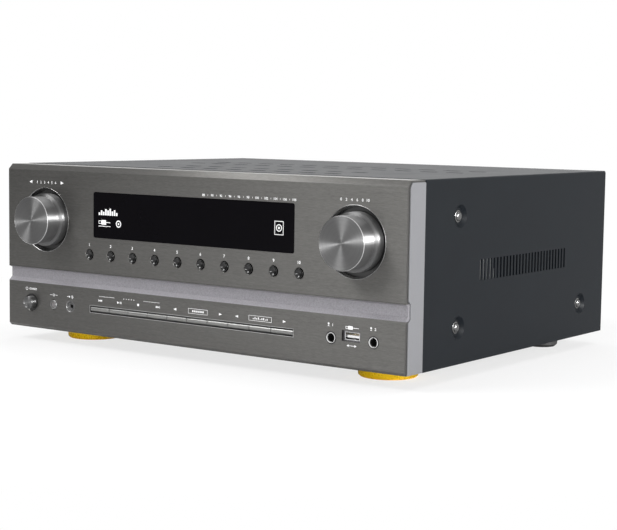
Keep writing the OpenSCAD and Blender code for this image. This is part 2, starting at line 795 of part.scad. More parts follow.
// A turned knob: flat spun face, grip, groove and skirt, hollow behind, on the encoder's shaft
module rotary_knob(side) {
    color([0.62, 0.62, 0.62])
        translate([side * knob_x, 0, knob_z]) rotate([90, 0, 0]) rotate_extrude($fn = 96)
            polygon([[0, -shaft_end], [shaft_r, -shaft_end], [shaft_r, 3.2 - knob_back],
                     [6, 3.2 - knob_back], [6, knob_out - 3], [knob_r - 2, knob_out - 3],
                     [knob_r - 2, -knob_back], [knob_skirt_r, -knob_back], [knob_skirt_r, 2.6],
                     [knob_r, 3.3], [knob_r - 0.5, 3.5], [knob_r - 0.5, 4.3], [knob_r, 4.5],
                     [knob_r, knob_out - 0.5], [knob_r - 0.5, knob_out], [0, knob_out]]);
}

module rotary_encoders() color([0.5, 0.52, 0.5]) {
    for (side = [-1, 1]) translate([side * knob_x, 0, knob_z]) difference() {
        union() {
            along_y(well_back, board_y) round_rect(0, 0, encoder_size, encoder_size, 1);
            bar_y(0, 0, bushing_front, well_back + eps, bushing_r);
        }
        bar_y(0, 0, bushing_front - 1, board_y - 0.5, shaft_r + shaft_gap);
    }
}

// A domed button with a flange that keeps it behind the frame and a stem into its switch
module source_button(n) {
    dome_r = (button_r * button_r + dome_h * dome_h) / (2 * dome_h);
    front = -0.6;
    color([0.09, 0.09, 0.1]) translate([button_x(n), 0, button_z]) {
        intersection() {
            bar_y(0, 0, front - 1, flange_back, button_r);
            translate([0, front + dome_r, 0]) sphere(dome_r);
        }
        bar_y(0, 0, front + dome_h, flange_back, button_r);
        bar_y(0, 0, flange_y, flange_back, button_flange_r);
        bar_y(0, 0, flange_back - eps, stem_end, stem_r);
    }
}

// A play key with a rounded face, a keeper flange and a stem into its switch
module play_key(n) {
    face_r = (key_h * key_h / 4 + key_crest * key_crest) / (2 * key_crest);
    color([0.5, 0.5, 0.5]) translate([play_key_x(n), 0, jack_z]) {
        along_x(-key_w / 2, key_w / 2) intersection() {
            translate([0.2, -key_h / 2]) square([flange_back - 0.2, key_h]);
            union() {
                translate([0.2 + face_r, 0]) circle(face_r);
                translate([0.2 + key_crest, -key_h / 2]) square([flange_back, key_h]);
            }
        }
        along_x(-key_w / 2, key_w / 2)
            translate([flange_y, -key_flange_h / 2]) square([flange_t, key_flange_h]);
        bar_y(0, 0, flange_back - eps, stem_end, stem_r);
    }
}

module power_button() color([0.6, 0.6, 0.61]) translate([-power_x, 0, jack_z]) {
    difference() {
        union() {
            bar_y(0, 0, -power_out + 0.5, flange_back, power_r);
            cone_y(0, 0, -power_out, -power_out + 0.5, power_r - 0.5, power_r);
        }
        cone_y(0, 0, -power_out - eps, -power_out + 0.3, power_r - 1, power_r - 1.4);
    }
    bar_y(0, 0, flange_y, flange_back, power_flange_r);
    bar_y(0, 0, flange_back - eps, power_stem_end, power_stem_r);
}

module power_switch() color([0.16, 0.17, 0.18]) translate([-power_x, 0, jack_z]) difference() {
    union() {
        along_y(power_switch_y, power_switch_y + 1.5) round_rect(0, 0, 2 * power_post_x + 5, 12, 2);
        along_y(power_switch_y, power_switch_y + 15) round_rect(0, 0, 14, 12, 1);
        for (sx = [-4, 0, 4]) bar_y(sx, 0, power_switch_y + 15 - eps, power_switch_y + 19, 0.8);
    }
    bar_y(0, 0, power_switch_y - 1, power_stem_end + power_travel + 0.5, power_stem_r + run_gap);
}

module standby_lens() color([0.75, 0.72, 0.72]) translate([-standby_x, 0, jack_z]) {
    intersection() {
        bar_y(0, 0, -2, 4, standby_r);
        translate([0, 5.2, 0]) sphere(6);
    }
    bar_y(0, 0, 1.2, frame_back + 1, standby_r);
    bar_y(0, 0, frame_back, frame_back + 1, standby_r + 1.4);
    bar_y(0, 0, frame_back + 1 - eps, board_y, 2);
}

module aux_jack() color([0.42, 0.42, 0.43]) translate([-aux_x, 0, jack_z]) difference() {
    union() {
        bar_y(0, 0, aux_in, frame_back + eps, aux_collar_r);
        along_y(frame_back, board_y) round_rect(0, 0, 12, 12, 0.8);
    }
    bar_y(0, 0, aux_in - 1, board_y - 1, aux_bore_r);
    cone_y(0, 0, aux_in - eps, aux_in + 0.6, aux_bore_r + 0.6, aux_bore_r);
}

module mic_jack(n) {
    color([0.7, 0.7, 0.71]) translate([mic_1_x + (n - 1) * mic_pitch, 0, jack_z]) difference() {
        union() {
            bar_y(0, 0, -mic_out + 0.4, frame_back + eps, mic_collar_r);
            cone_y(0, 0, -mic_out, -mic_out + 0.4, mic_collar_r - 0.4, mic_collar_r);
            along_y(frame_back, frame_back + mic_body_l) round_rect(0, 0, mic_body_w, mic_body_h, 1);
        }
        bar_y(0, 0, -mic_out - 1, frame_back + mic_body_l - 4, mic_bore_r);
        cone_y(0, 0, -mic_out - eps, -mic_out + 0.6, mic_bore_r + 0.6, mic_bore_r);
    }
}

// USB socket: folded shell, contact tongue, and the block that stands it on its board
module usb_port() color([0.72, 0.72, 0.73]) translate([usb_x, 0, usb_z]) {
    difference() {
        along_y(usb_in, usb_in + usb_l) round_rect(0, 0, usb_w, usb_h, 0.5);
        along_y(usb_in - 1, usb_in + usb_l - 2)
            translate([-usb_w / 2 + usb_wall, -usb_h / 2 + usb_wall])
                square([usb_w - 2 * usb_wall, usb_h - 2 * usb_wall]);
    }
    along_y(usb_in + 1.2, usb_in + usb_l - 1) round_rect(0, -0.5, 11.2, 1.9, 0.3);
    block([-6, frame_back + 1, io_board_z + board_t - usb_z], [6, usb_in + usb_l, -usb_h / 2 + eps]);
}

// Main front board, with the push switches of the round buttons and the play keys
module front_board() color([0.12, 0.3, 0.18]) {
    along_y(board_y, board_y + board_t) {
        translate([board_side - frame_half, board_step_z])
            square([2 * (frame_half - board_side), board_top - board_step_z]);
        translate([board_low_x0, board_low_z])
            square([board_low_x1 - board_low_x0, board_step_z + board_lap - board_low_z]);
    }
    for (n = [1 : button_count]) push_switch(button_x(n), button_z);
    for (n = [1 : key_count]) push_switch(play_key_x(n), jack_z);
}

module push_switch(x, z) {
    difference() {
        along_y(switch_front, board_y + eps) translate([x - switch_size / 2, z - switch_size / 2])
            square([switch_size, switch_size]);
        bar_y(x, z, switch_front - 1, board_y - 0.6, stem_r + stem_gap);
    }
}

module io_board() color([0.12, 0.3, 0.18]) {
    block([usb_x - io_board_left, frame_back + 2, io_board_z],
          [usb_x + io_board_right, frame_back + 2 + io_board_d, io_board_z + board_t]);
}

// ---------- feet and screws ----------

module foot(r, taper, edge) {
    rotate_extrude()
        polygon([[screw_hole_r, 0], [r, 0], [r - taper, -foot_h + edge], [r - taper - edge, -foot_h],
                 [foot_well_r, -foot_h], [foot_well_r, -foot_h + foot_well_depth],
                 [screw_hole_r, -foot_h + foot_well_depth]]);
}

module front_feet() color([0.83, 0.66, 0.1]) {
    for (side = [-1, 1]) translate([side * front_foot_x, front_foot_y, 0]) foot(front_foot_r, 0.8, 1.4);
}

module rear_feet() color([0.07, 0.07, 0.08]) {
    for (side = [-1, 1]) translate([side * rear_foot_x, rear_foot_y, 0]) foot(rear_foot_r, 1.5, 2);
}

// A case screw standing on its head's underside, head up
module case_screw() {
    translate([0, 0, -screw_l]) cylinder(r = screw_r, h = screw_l + eps);
    intersection() {
        cylinder(r = screw_head_r, h = screw_head_h);
        translate([0, 0, screw_head_h - 8]) sphere(8);
    }
}

module case_screws() color([0.35, 0.35, 0.36]) {
    at_side_screws(body_w / 2 - dimple_depth) case_screw();
    for (p = foot_places)
        translate([p[0], p[1], -foot_h + foot_well_depth]) rotate([180, 0, 0]) case_screw();
    for (x = [-lip_screw_x, 0, lip_screw_x])
        translate([x, body_d + sheet_t, body_h - rear_lip_h / 2]) rotate([-90, 0, 0]) case_screw();
    for (x = [-base_screw_x, 0, base_screw_x])
        translate([x, body_d, base_screw_z]) rotate([-90, 0, 0]) case_screw();
}

// ---------- inside ----------

module power_transformer() color([0.75, 0.62, 0.2]) translate([toroid_x, toroid_y, floor_z]) {
    rotate_extrude()
        round_rect((toroid_bore + toroid_r) / 2, toroid_h / 2, toroid_r - toroid_bore, toroid_h,
                   toroid_round);
    translate([0, 0, toroid_h - eps]) cylinder(r = 30, h = 2);
    cylinder(r = 4, h = toroid_h + 8);
}

module heat_sink() color([0.2, 0.2, 0.21]) translate([sink_x0, sink_y, floor_z]) linear_extrude(sink_h) {
    square([sink_w, sink_base]);
    for (n = [0 : sink_fins - 1])
        translate([n * (sink_w - sink_fin_t) / (sink_fins - 1), sink_base - eps])
            square([sink_fin_t, sink_fin_l]);
}

module power_transistors() color([0.1, 0.1, 0.11]) {
    for (n = [0 : transistors - 1])
        translate([sink_x0 + transistor_in + n * transistor_pitch, sink_y, 0]) {
        block([-transistor_w / 2, -transistor_t, transistor_z],
              [transistor_w / 2, 0, transistor_z + transistor_h]);
        for (leg = [-1, 1])
            block([leg * transistor_w / 3 - 0.6, 1 - transistor_t, amp_z + board_t],
                  [leg * transistor_w / 3 + 0.6, 2 - transistor_t, transistor_z + eps]);
    }
}

module amplifier_board() color([0.5, 0.4, 0.15]) {
    block([amp_x0, amp_y0, amp_z], [amp_x1, sink_y - fit_gap, amp_z + board_t]);
    for (n = [0 : 3]) translate([coil_x, coil_y + n * coil_pitch, amp_z + board_t - eps])
        cylinder(r = coil_r, h = coil_h);
    translate([relay_x, relay_y, amp_z + board_t - eps]) cube([relay_w, relay_d, relay_h]);
}

module filter_capacitors() color([0.1, 0.12, 0.22]) {
    for (n = [0, 1]) translate([capacitor_x + n * capacitor_pitch, capacitor_y, amp_z + board_t])
        rotate_extrude()
        polygon([[0, 0], [capacitor_r, 0], [capacitor_r, 5], [capacitor_r - 1, 6], [capacitor_r, 7],
                 [capacitor_r, capacitor_h - 1], [capacitor_r - 1, capacitor_h], [0, capacitor_h]]);
}

// Flat cable from the front board back over the chassis front to the amplifier board
module ribbon_cable() color([0.75, 0.75, 0.72]) {
    along_x(ribbon_x, ribbon_x + ribbon_w)
        polygon([[board_y + board_t, ribbon_z], [ribbon_fold_y, ribbon_z], [ribbon_end_y, ribbon_low_z],
                 [ribbon_end_y, amp_z + board_t], [ribbon_end_y + ribbon_t, amp_z + board_t],
                 [ribbon_end_y + ribbon_t, ribbon_low_z + ribbon_t],
                 [ribbon_fold_y + 0.3 * ribbon_t, ribbon_z + ribbon_t],
                 [board_y + board_t, ribbon_z + ribbon_t]]);
}

// ---------- rear ----------

function phono_width() = (phono_cols - 1) * phono_pitch + 14;
function phono_height() = (phono_rows - 1) * phono_pitch + 14;

// Phono jack block: a moulded body with a screened ring and a centre hole for each plug
module phono_jacks() color([0.2, 0.2, 0.21]) translate([phono_x, body_d, phono_z]) {
    along_y(-phono_depth, phono_face) round_rect(0, 0, phono_width(), phono_height(), 1);
    for (c = [0 : phono_cols - 1], r = [0 : phono_rows - 1])
        phono_jack((c - (phono_cols - 1) / 2) * phono_pitch, (r - (phono_rows - 1) / 2) * phono_pitch);
    along_y(-phono_depth, -sheet_t) translate([-phono_width() / 2 - 3, -phono_height() / 2 - 3])
        square([phono_width() + 6, phono_height() + 6]);
}

module phono_jack(x, z) {
    difference() {
        bar_y(x, z, phono_face - eps, phono_face + phono_out, phono_r);
        difference() {
            bar_y(x, z, phono_face + 2, phono_face + phono_out + 1, phono_r - 0.6);
            bar_y(x, z, phono_face + 1, phono_face + phono_out - 0.8, 2.4);
        }
        bar_y(x, z, phono_face + 2, phono_face + phono_out + 1, 1.6);
    }
}

// Speaker terminal block with a slot for each lever, its pivot bores and a wire hole below it
module speaker_terminals() color([0.08, 0.08, 0.09])
translate([terminal_x, body_d, terminal_z]) difference() {
    union() {
        block([-terminal_w / 2, 0, -terminal_h / 2], [terminal_w / 2, terminal_out, terminal_h / 2]);
        block([-terminal_w / 2 - terminal_flange, 0, -terminal_h / 2 - 2],
              [terminal_w / 2 + terminal_flange, 2, terminal_h / 2 + 2]);
        block([-terminal_w / 2 + 2, -10, -terminal_h / 2 + 4],
              [terminal_w / 2 - 2, eps, terminal_h / 2 - 4]);
    }
    for (n = [1 : terminal_cells]) translate([cell_x(n), 0, 0]) {
        block([-cell_half, 2.4, 2], [cell_half, terminal_out + 1, terminal_h / 2 - 2]);
        along_x(-cell_half - pivot_l - run_gap, cell_half + pivot_l + run_gap)
            translate([hub_y, hub_z]) circle(pivot_r + pivot_gap);
        bar_y(0, -8, 4, terminal_out + 1, 2);
        cone_y(0, -8, terminal_out - 1.6, terminal_out + eps, 2, 3.6);
    }
}

module terminal_lever(n) {
    color(n % 2 == 1 ? [0.7, 0.08, 0.07] : [0.12, 0.12, 0.13])
        translate([terminal_x + cell_x(n), body_d + hub_y, terminal_z + hub_z]) {
            along_x(-lever_half, lever_half) circle(hub_r);
            along_x(-cell_half - pivot_l, cell_half + pivot_l) circle(pivot_r);
            along_x(-lever_half, lever_half)
                rotate(lever_rest) translate([0, -lever_t / 2]) square([lever_l, lever_t]);
        }
}

// Mains inlet: flanged body with a keyed cavity and three flat pins
module ac_inlet() color([0.06, 0.06, 0.07]) translate([inlet_x, body_d, inlet_z]) {
    difference() {
        union() {
            along_y(0, 3) round_rect(0, 0, 50, 24, 4);
            along_y(-19, eps) round_rect(0, 0, inlet_w, inlet_h, 1);
        }
        along_y(-16, 4)
            polygon([[-12.1, 8.4], [12.1, 8.4], [12.1, -4.4], [8.1, -8.4], [-8.1, -8.4],
                     [-12.1, -4.4]]);
        for (side = [-1, 1]) bar_y(side * 20, 0, -1, 4, 1.7);
    }
    for (p = [[-7, 3], [7, 3], [0, -3.5]])
        along_y(-16 - eps, -1) translate([p[0] - 1, p[1] - 2]) square([2, 4]);
}

// Tuner can with its aerial socket
module tuner_module() color([0.65, 0.66, 0.66]) translate([tuner_x, body_d, tuner_z]) {
    along_y(-sheet_t - tuner_d, -sheet_t) round_rect(0, 0, tuner_w, tuner_h, 0.6);
    difference() {
        bar_y(0, 0, -sheet_t - eps, coax_out, coax_r);
        difference() {
            bar_y(0, 0, 1, coax_out + 1, coax_r - 0.6);
            bar_y(0, 0, 0, coax_out - 1, 2.6);
        }
        bar_y(0, 0, 0, coax_out + 1, 1.2);
    }
}

place() chassis_base();
place() top_cover();
place() rear_panel();
place() fascia_frame();
place() end_cap(-1);  // end_cap_left
place() end_cap(1);  // end_cap_right
place() upper_plate();
place() lower_plate();
place() display_window();
place() display_tube();
place() knob_wells();
place() rotary_knob(1);  // volume_knob
place() rotary_knob(-1);  // selector_knob
place() rotary_encoders();
place() source_button(1);  // source_button_1
place() source_button(2);  // source_button_2
place() source_button(3);  // source_button_3
place() source_button(4);  // source_button_4
place() source_button(5);  // source_button_5
place() source_button(6);  // source_button_6
place() source_button(7);  // source_button_7
place() source_button(8);  // source_button_8
place() source_button(9);  // source_button_9
place() source_button(10);  // source_button_10
place() power_button();
place() power_switch();
place() play_key(1);  // play_key_1
place() play_key(2);  // play_key_2
place() play_key(3);  // play_key_3
place() play_key(4);  // play_key_4
place() play_key(5);  // play_key_5
place() play_key(6);  // play_key_6
place() play_key(7);  // play_key_7
place() play_key(8);  // play_key_8
place() play_key(9);  // play_key_9
place() play_key(10);  // play_key_10
place() standby_lens();
place() aux_jack();
place() mic_jack(1);  // mic_jack_1
place() mic_jack(2);  // mic_jack_2
place() usb_port();
place() front_board();
place() io_board();
place() front_feet();
place() rear_feet();
place() power_transformer();
place() heat_sink();
place() power_transistors();
place() amplifier_board();
place() filter_capacitors();
place() phono_jacks();
place() speaker_terminals();
place() terminal_lever(1);  // terminal_lever_1
place() terminal_lever(2);  // terminal_lever_2
place() terminal_lever(3);  // terminal_lever_3
place() terminal_lever(4);  // terminal_lever_4
place() ac_inlet();
place() tuner_module();
place() case_screws();
place() ribbon_cable();
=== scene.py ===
"""A stereo receiver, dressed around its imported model: finishes, printed marks and fine parts."""

import json
from math import cos, pi, radians, sin, sqrt

import bmesh
import bpy
from mathutils import Matrix, Vector


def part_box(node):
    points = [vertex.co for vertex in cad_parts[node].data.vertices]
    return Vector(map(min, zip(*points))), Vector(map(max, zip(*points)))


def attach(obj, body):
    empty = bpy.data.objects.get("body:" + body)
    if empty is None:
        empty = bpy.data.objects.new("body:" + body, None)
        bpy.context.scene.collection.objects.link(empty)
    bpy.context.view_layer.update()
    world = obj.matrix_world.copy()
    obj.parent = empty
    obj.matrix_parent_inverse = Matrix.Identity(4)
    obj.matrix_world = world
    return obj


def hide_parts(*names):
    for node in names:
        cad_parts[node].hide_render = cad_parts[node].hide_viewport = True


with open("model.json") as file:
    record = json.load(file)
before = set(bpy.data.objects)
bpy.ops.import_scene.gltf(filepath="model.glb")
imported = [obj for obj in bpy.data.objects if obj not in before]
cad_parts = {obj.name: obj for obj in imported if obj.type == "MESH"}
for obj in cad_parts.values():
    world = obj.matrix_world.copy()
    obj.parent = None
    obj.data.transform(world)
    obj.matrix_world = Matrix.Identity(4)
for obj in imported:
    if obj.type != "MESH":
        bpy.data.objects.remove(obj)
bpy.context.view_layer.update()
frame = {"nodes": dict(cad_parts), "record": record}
scene = bpy.context.scene

# The case's own frame, in millimetres: x from the middle, y back from the front plates' face, z up from the
# underside of the case.
FRONT_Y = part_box("upper_plate")[0][1]
UNDER_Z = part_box("chassis_base")[0][2]
MM = 0.001


def at(x, y, z):
    """A point given in the case's frame, in metres of the row frame."""
    return Vector((x * MM, FRONT_Y + y * MM, UNDER_Z + z * MM))


def middle(node):
    """The middle of a CAD node's box."""
    low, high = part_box(node)
    return (Vector(low) + Vector(high)) / 2


# ---------- node groups shared by several finishes ----------


def new_group(name, inputs, outputs):
    """A shader node group with float and vector sockets, and its input and output nodes."""
    group = bpy.data.node_groups.new(name, "ShaderNodeTree")
    for label, kind, value in inputs:
        socket = group.interface.new_socket(name=label, in_out="INPUT", socket_type=kind)
        if value is not None:
            socket.default_value = value
    for label, kind in outputs:
        group.interface.new_socket(name=label, in_out="OUTPUT", socket_type=kind)
    return group, group.nodes.new("NodeGroupInput"), group.nodes.new("NodeGroupOutput")


def maths(tree, operation, a, b=None, clamp=False):
    """A Math node in a tree. a and b are sockets or numbers."""
    node = tree.nodes.new("ShaderNodeMath")
    node.operation = operation
    node.use_clamp = clamp
    for socket, value in zip(node.inputs, (a, b)):
        if value is None:
            continue
        if isinstance(value, (int, float)):
            socket.default_value = value
        else:
            tree.links.new(value, socket)
    return node.outputs[0]


def noise(tree, vector, scale, detail=2.0, roughness=0.5):
    """A Noise Texture's value."""
    node = tree.nodes.new("ShaderNodeTexNoise")
    node.inputs["Scale"].default_value = scale
    node.inputs["Detail"].default_value = detail
    node.inputs["Roughness"].default_value = roughness
    tree.links.new(vector, node.inputs["Vector"])
    return node.outputs[0]


def stretched(tree, vector, scale):
    """A vector scaled by three numbers."""
    node = tree.nodes.new("ShaderNodeMapping")
    node.inputs["Scale"].default_value = scale
    tree.links.new(vector, node.inputs["Vector"])
    return node.outputs[0]


def shade_group(name, sizes=()):
    """A group with a Vector and a Contrast to take in, and a shade and a height to put out.

    sizes are its further inputs, as pairs of a name and a number."""
    inputs = [("Vector", "NodeSocketVector", None)]
    inputs += [(label, "NodeSocketFloat", value) for label, value in (*sizes, ("Contrast", 1.0))]
    return new_group(name, inputs, [("Shade", "NodeSocketFloat"), ("Height", "NodeSocketFloat")])


def blended(tree, first, share, second):
    """A mix of two values. share is the first one's part, from 0 to 1."""
    return maths(
        tree, "ADD", maths(tree, "MULTIPLY", first, share), maths(tree, "MULTIPLY", second, 1 - share)
    )


def put_out(group, inside, out, pattern, height):
    """Ends a group: the shade is the pattern spread about its middle by Contrast."""
    centred = maths(group, "SUBTRACT", pattern, 0.5)
    scaled = maths(group, "MULTIPLY", centred, inside.outputs["Contrast"])
    shade = maths(group, "ADD", scaled, 0.5, clamp=True)
    group.links.new(shade, out.inputs["Shade"])
    group.links.new(height, out.inputs["Height"])
    return group


def brushed_group():
    """Straight brushed grain that runs along X: a shade from 0 to 1 and a height."""
    group, inside, out = shade_group("brushed grain")
    vector = inside.outputs["Vector"]
    fine = noise(group, stretched(group, vector, (240, 1500, 1500)), 1.0, 3.0, 0.7)
    coarse = noise(group, stretched(group, vector, (9, 520, 520)), 1.0, 2.0)
    broad = noise(group, stretched(group, vector, (3, 14, 14)), 1.0, 2.0)
    mixed = maths(group, "ADD", maths(group, "MULTIPLY", fine, 0.65), maths(group, "MULTIPLY", coarse, 0.2))
    mixed = maths(group, "ADD", mixed, maths(group, "MULTIPLY", broad, 0.15))
    return put_out(group, inside, out, mixed, mixed)


def flake_group():
    """Fine metallic flakes and soft mottling of a lacquer: a shade and a height."""
    group, inside, out = shade_group("lacquer flakes")
    vector = inside.outputs["Vector"]
    flakes = noise(group, vector, 3800.0, 1.0, 0.7)
    mottle = noise(group, vector, 1000.0, 3.0)
    return put_out(group, inside, out, blended(group, flakes, 0.5, mottle), mottle)


def grain_group():
    """The fine peel and smudges of paint, moulded plastic or rubber: a shade and a height."""
    group, inside, out = shade_group("moulded grain", [("Size", 1500.0)])
    peel = group.nodes.new("ShaderNodeTexNoise")
    peel.inputs["Detail"].default_value = 3.0
    group.links.new(inside.outputs["Vector"], peel.inputs["Vector"])
    group.links.new(inside.outputs["Size"], peel.inputs["Scale"])
    smudge = noise(group, inside.outputs["Vector"], 24.0, 3.0, 0.6)
    return put_out(group, inside, out, blended(group, peel.outputs[0], 0.4, smudge), peel.outputs[0])


def turned_group():
    """Fine rings round an axis along Y, as a lathe leaves them: a shade and a height.

    Centre X and Centre Z place the axis in the row frame."""
    group, inside, out = shade_group("turned rings", [("Centre X", 0.0), ("Centre Z", 0.0)])
    parts = group.nodes.new("ShaderNodeSeparateXYZ")
    group.links.new(inside.outputs["Vector"], parts.inputs[0])
    dx = maths(group, "SUBTRACT", parts.outputs["X"], inside.outputs["Centre X"])
    dz = maths(group, "SUBTRACT", parts.outputs["Z"], inside.outputs["Centre Z"])
    radius = maths(
        group, "SQRT", maths(group, "ADD", maths(group, "MULTIPLY", dx, dx), maths(group, "MULTIPLY", dz, dz))
    )
    ringed = group.nodes.new("ShaderNodeCombineXYZ")
    group.links.new(radius, ringed.inputs["X"])
    group.links.new(parts.outputs["Y"], ringed.inputs["Y"])
    fine = noise(group, ringed.outputs[0], 2600.0, 2.0, 0.6)
    coarse = noise(group, ringed.outputs[0], 600.0, 2.0)
    mixed = blended(group, fine, 0.6, coarse)
    return put_out(group, inside, out, mixed, mixed)


BRUSHED = brushed_group()
FLAKES = flake_group()
GRAIN = grain_group()
TURNED = turned_group()

# ---------- how a finish is made ----------

# the sockets of a Mix node that hold its colours
MIX_A, MIX_B, MIX_RESULT = 6, 7, 2


def finish(name, group, dark, light, rough, bump, metal=0.0, inputs=None, **settings):
    """A material whose colour and roughness each run between two values over a group's shade.

    bump is the depth of the group's height in metres, and inputs are the group's own. settings name the
    shader's sockets that hold one value."""
    material = bpy.data.materials.new(name)
    material.use_nodes = True
    tree = material.node_tree
    shader = tree.nodes["Principled BSDF"]
    where = tree.nodes.new("ShaderNodeTexCoord")
    pattern = tree.nodes.new("ShaderNodeGroup")
    pattern.node_tree = group
    tree.links.new(where.outputs["Object"], pattern.inputs["Vector"])
    for label, value in (inputs or {}).items():
        pattern.inputs[label].default_value = value
    tint = tree.nodes.new("ShaderNodeMix")
    tint.data_type = "RGBA"
    tint.inputs[MIX_A].default_value = (*dark, 1)
    tint.inputs[MIX_B].default_value = (*light, 1)
    tree.links.new(pattern.outputs["Shade"], tint.inputs["Factor"])
    tree.links.new(tint.outputs[MIX_RESULT], shader.inputs["Base Color"])
    spread = tree.nodes.new("ShaderNodeMapRange")
    spread.inputs["To Min"].default_value = rough[0]
    spread.inputs["To Max"].default_value = rough[1]
    tree.links.new(pattern.outputs["Shade"], spread.inputs["Value"])
    tree.links.new(spread.outputs[0], shader.inputs["Roughness"])
    relief = tree.nodes.new("ShaderNodeBump")
    relief.inputs["Distance"].default_value = bump
    tree.links.new(pattern.outputs["Height"], relief.inputs["Height"])
    tree.links.new(relief.outputs[0], shader.inputs["Normal"])
    shader.inputs["Metallic"].default_value = metal
    for label, value in settings.items():
        shader.inputs[label.replace("_", " ").title().replace("Ior", "IOR")].default_value = value
    return material


def grey(value):
    """A neutral colour."""
    return (value, value, value)


def turned_finish(name, node, dark, light, rough):
    """Turned metal, whose rings and sheen run round an axis along Y through the middle of a CAD node."""
    centre = middle(node)
    material = finish(
        name, TURNED, grey(dark), grey(light), rough, 0.000004, 1.0,
        {"Centre X": centre.x, "Centre Z": centre.z, "Contrast": 1.5}, anisotropic=0.95,
        anisotropic_rotation=0.25,
    )
    tree = material.node_tree
    tangent = tree.nodes.new("ShaderNodeTangent")
    tangent.direction_type = "RADIAL"
    tangent.axis = "Y"
    tree.links.new(tangent.outputs[0], tree.nodes["Principled BSDF"].inputs["Tangent"])
    return material


# ---------- making pieces ----------


def add_object(name, bm, material, body, shade_angle=35):
    """Turns a bmesh into a piece with its material and the body it rides on."""
    mesh = bpy.data.meshes.new(name)
    bm.to_mesh(mesh)
    bm.free()
    mesh.materials.append(material)
    mesh.shade_smooth()
    mesh.set_sharp_from_angle(angle=radians(shade_angle))
    piece = bpy.data.objects.new(name, mesh)
    scene.collection.objects.link(piece)
    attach(piece, body)
    return piece


SLOT_OF = {row["node"]: row["material_slot"] for row in frame["record"]["subparts"]}


def dress(node, material):
    """Gives a finish to a CAD node, which is kept as it is."""
    mesh = frame["nodes"][node].data
    mesh.materials.clear()
    mesh.materials.append(material)


# ---------- camera, light and floor ----------

# the camera's place in the case's frame, its azimuth, elevation and roll in degrees, and its lens
CAMERA_PLACE = (818.43, -948.62, 193.69)
CAMERA_TURN = (36.207, 5.607, 0.806)
CAMERA_LENS = 88.374

# the point that lamps and cards face, in metres of the row frame
CASE_MIDDLE = Vector((0, 0, 0.08))


def place_camera():
    """A long lens at the front right corner, a little above the case."""
    azimuth, elevation, roll = (radians(angle) for angle in CAMERA_TURN)
    back = Vector((sin(azimuth) * cos(elevation), -cos(azimuth) * cos(elevation), sin(elevation)))
    right = Vector((cos(azimuth), sin(azimuth), 0))
    up = back.cross(right)
    turned_right = right * cos(roll) + up * sin(roll)
    turned_up = up * cos(roll) - right * sin(roll)
    camera = bpy.data.objects.new("camera", bpy.data.cameras.new("camera"))
    camera.data.lens = CAMERA_LENS
    camera.data.sensor_width = 36
    camera.data.clip_start = 0.05
    camera.data.clip_end = 60
    turn = Matrix((turned_right, turned_up, back)).transposed().to_4x4()
    camera.matrix_world = Matrix.Translation(at(*CAMERA_PLACE)) @ turn
    scene.collection.objects.link(camera)
    scene.camera = camera


def sees_background(tree):
    """1 on rays from the camera, a mirror or glass, and 0 on the rest."""
    path = tree.nodes.new("ShaderNodeLightPath")
    return maths(
        tree, "MAXIMUM", path.outputs["Is Camera Ray"],
        maths(tree, "MAXIMUM", path.outputs["Is Glossy Ray"], path.outputs["Is Transmission Ray"]),
    )


def light_world():
    """A white backdrop for the camera and reflections, and a soft dome for the rest."""
    world = bpy.data.worlds.new("studio")
    scene.world = world
    world.use_nodes = True
    tree = world.node_tree
    background = tree.nodes["Background"]
    mix = tree.nodes.new("ShaderNodeMix")
    mix.data_type = "RGBA"
    mix.inputs[MIX_A].default_value = (0.5, 0.5, 0.51, 1)
    mix.inputs[MIX_B].default_value = (1, 1, 1, 1)
    tree.links.new(sees_background(tree), mix.inputs["Factor"])
    tree.links.new(mix.outputs[MIX_RESULT], background.inputs["Color"])


def from_middle(azimuth, elevation, distance):
    """A point some metres from the case, azimuth degrees to the right of its front, elevation degrees up."""
    a, e = radians(azimuth), radians(elevation)
    return Vector((sin(a) * cos(e), -cos(a) * cos(e), sin(e))) * distance + CASE_MIDDLE


def facing_case(place):
    """The place and turn of something that stands at a point and faces the case."""
    return Matrix.Translation(place) @ (CASE_MIDDLE - place).to_track_quat("-Z", "Y").to_matrix().to_4x4()


def area_light(name, place, size, power):
    """A soft rectangular lamp at a place, turned to the case, hidden from the camera."""
    lamp = bpy.data.objects.new(name, bpy.data.lights.new(name, "AREA"))
    lamp.data.shape = "RECTANGLE"
    lamp.data.size, lamp.data.size_y = size
    lamp.data.energy = power
    lamp.visible_camera = False
    lamp.matrix_world = facing_case(place)
    scene.collection.objects.link(lamp)


def stage_object(name, bm, material):
    """Turns a bmesh into a piece of the studio."""
    mesh = bpy.data.meshes.new(name)
    bm.to_mesh(mesh)
    bm.free()
    mesh.materials.append(material)
    prop = bpy.data.objects.new(name, mesh)
    scene.collection.objects.link(prop)
    return prop


def only_in_reflections(prop):
    """Hides a piece of the studio from all but polished surfaces."""
    for way in ("camera", "diffuse", "shadow", "transmission", "volume_scatter"):
        setattr(prop, "visible_" + way, False)


def glowing(name):
    """A material that only glows, its tree and its Emission node."""
    material = bpy.data.materials.new(name)
    material.use_nodes = True
    tree = material.node_tree
    tree.nodes.remove(tree.nodes["Principled BSDF"])
    glow = tree.nodes.new("ShaderNodeEmission")
    tree.links.new(glow.outputs[0], tree.nodes["Material Output"].inputs["Surface"])
    return material, tree, glow


def stand_bright_card(name, place, size, strength):
    """A white card turned to the case that only polished surfaces see, as their highlights."""
    bm = bmesh.new()
    scaled = Matrix.Diagonal((size[0] / 2, size[1] / 2, 1, 1))
    bmesh.ops.create_grid(bm, x_segments=1, y_segments=1, size=1, matrix=facing_case(place) @ scaled)
    material, _, glow = glowing(name)
    glow.inputs["Strength"].default_value = strength
    only_in_reflections(stage_object(name, bm, material))


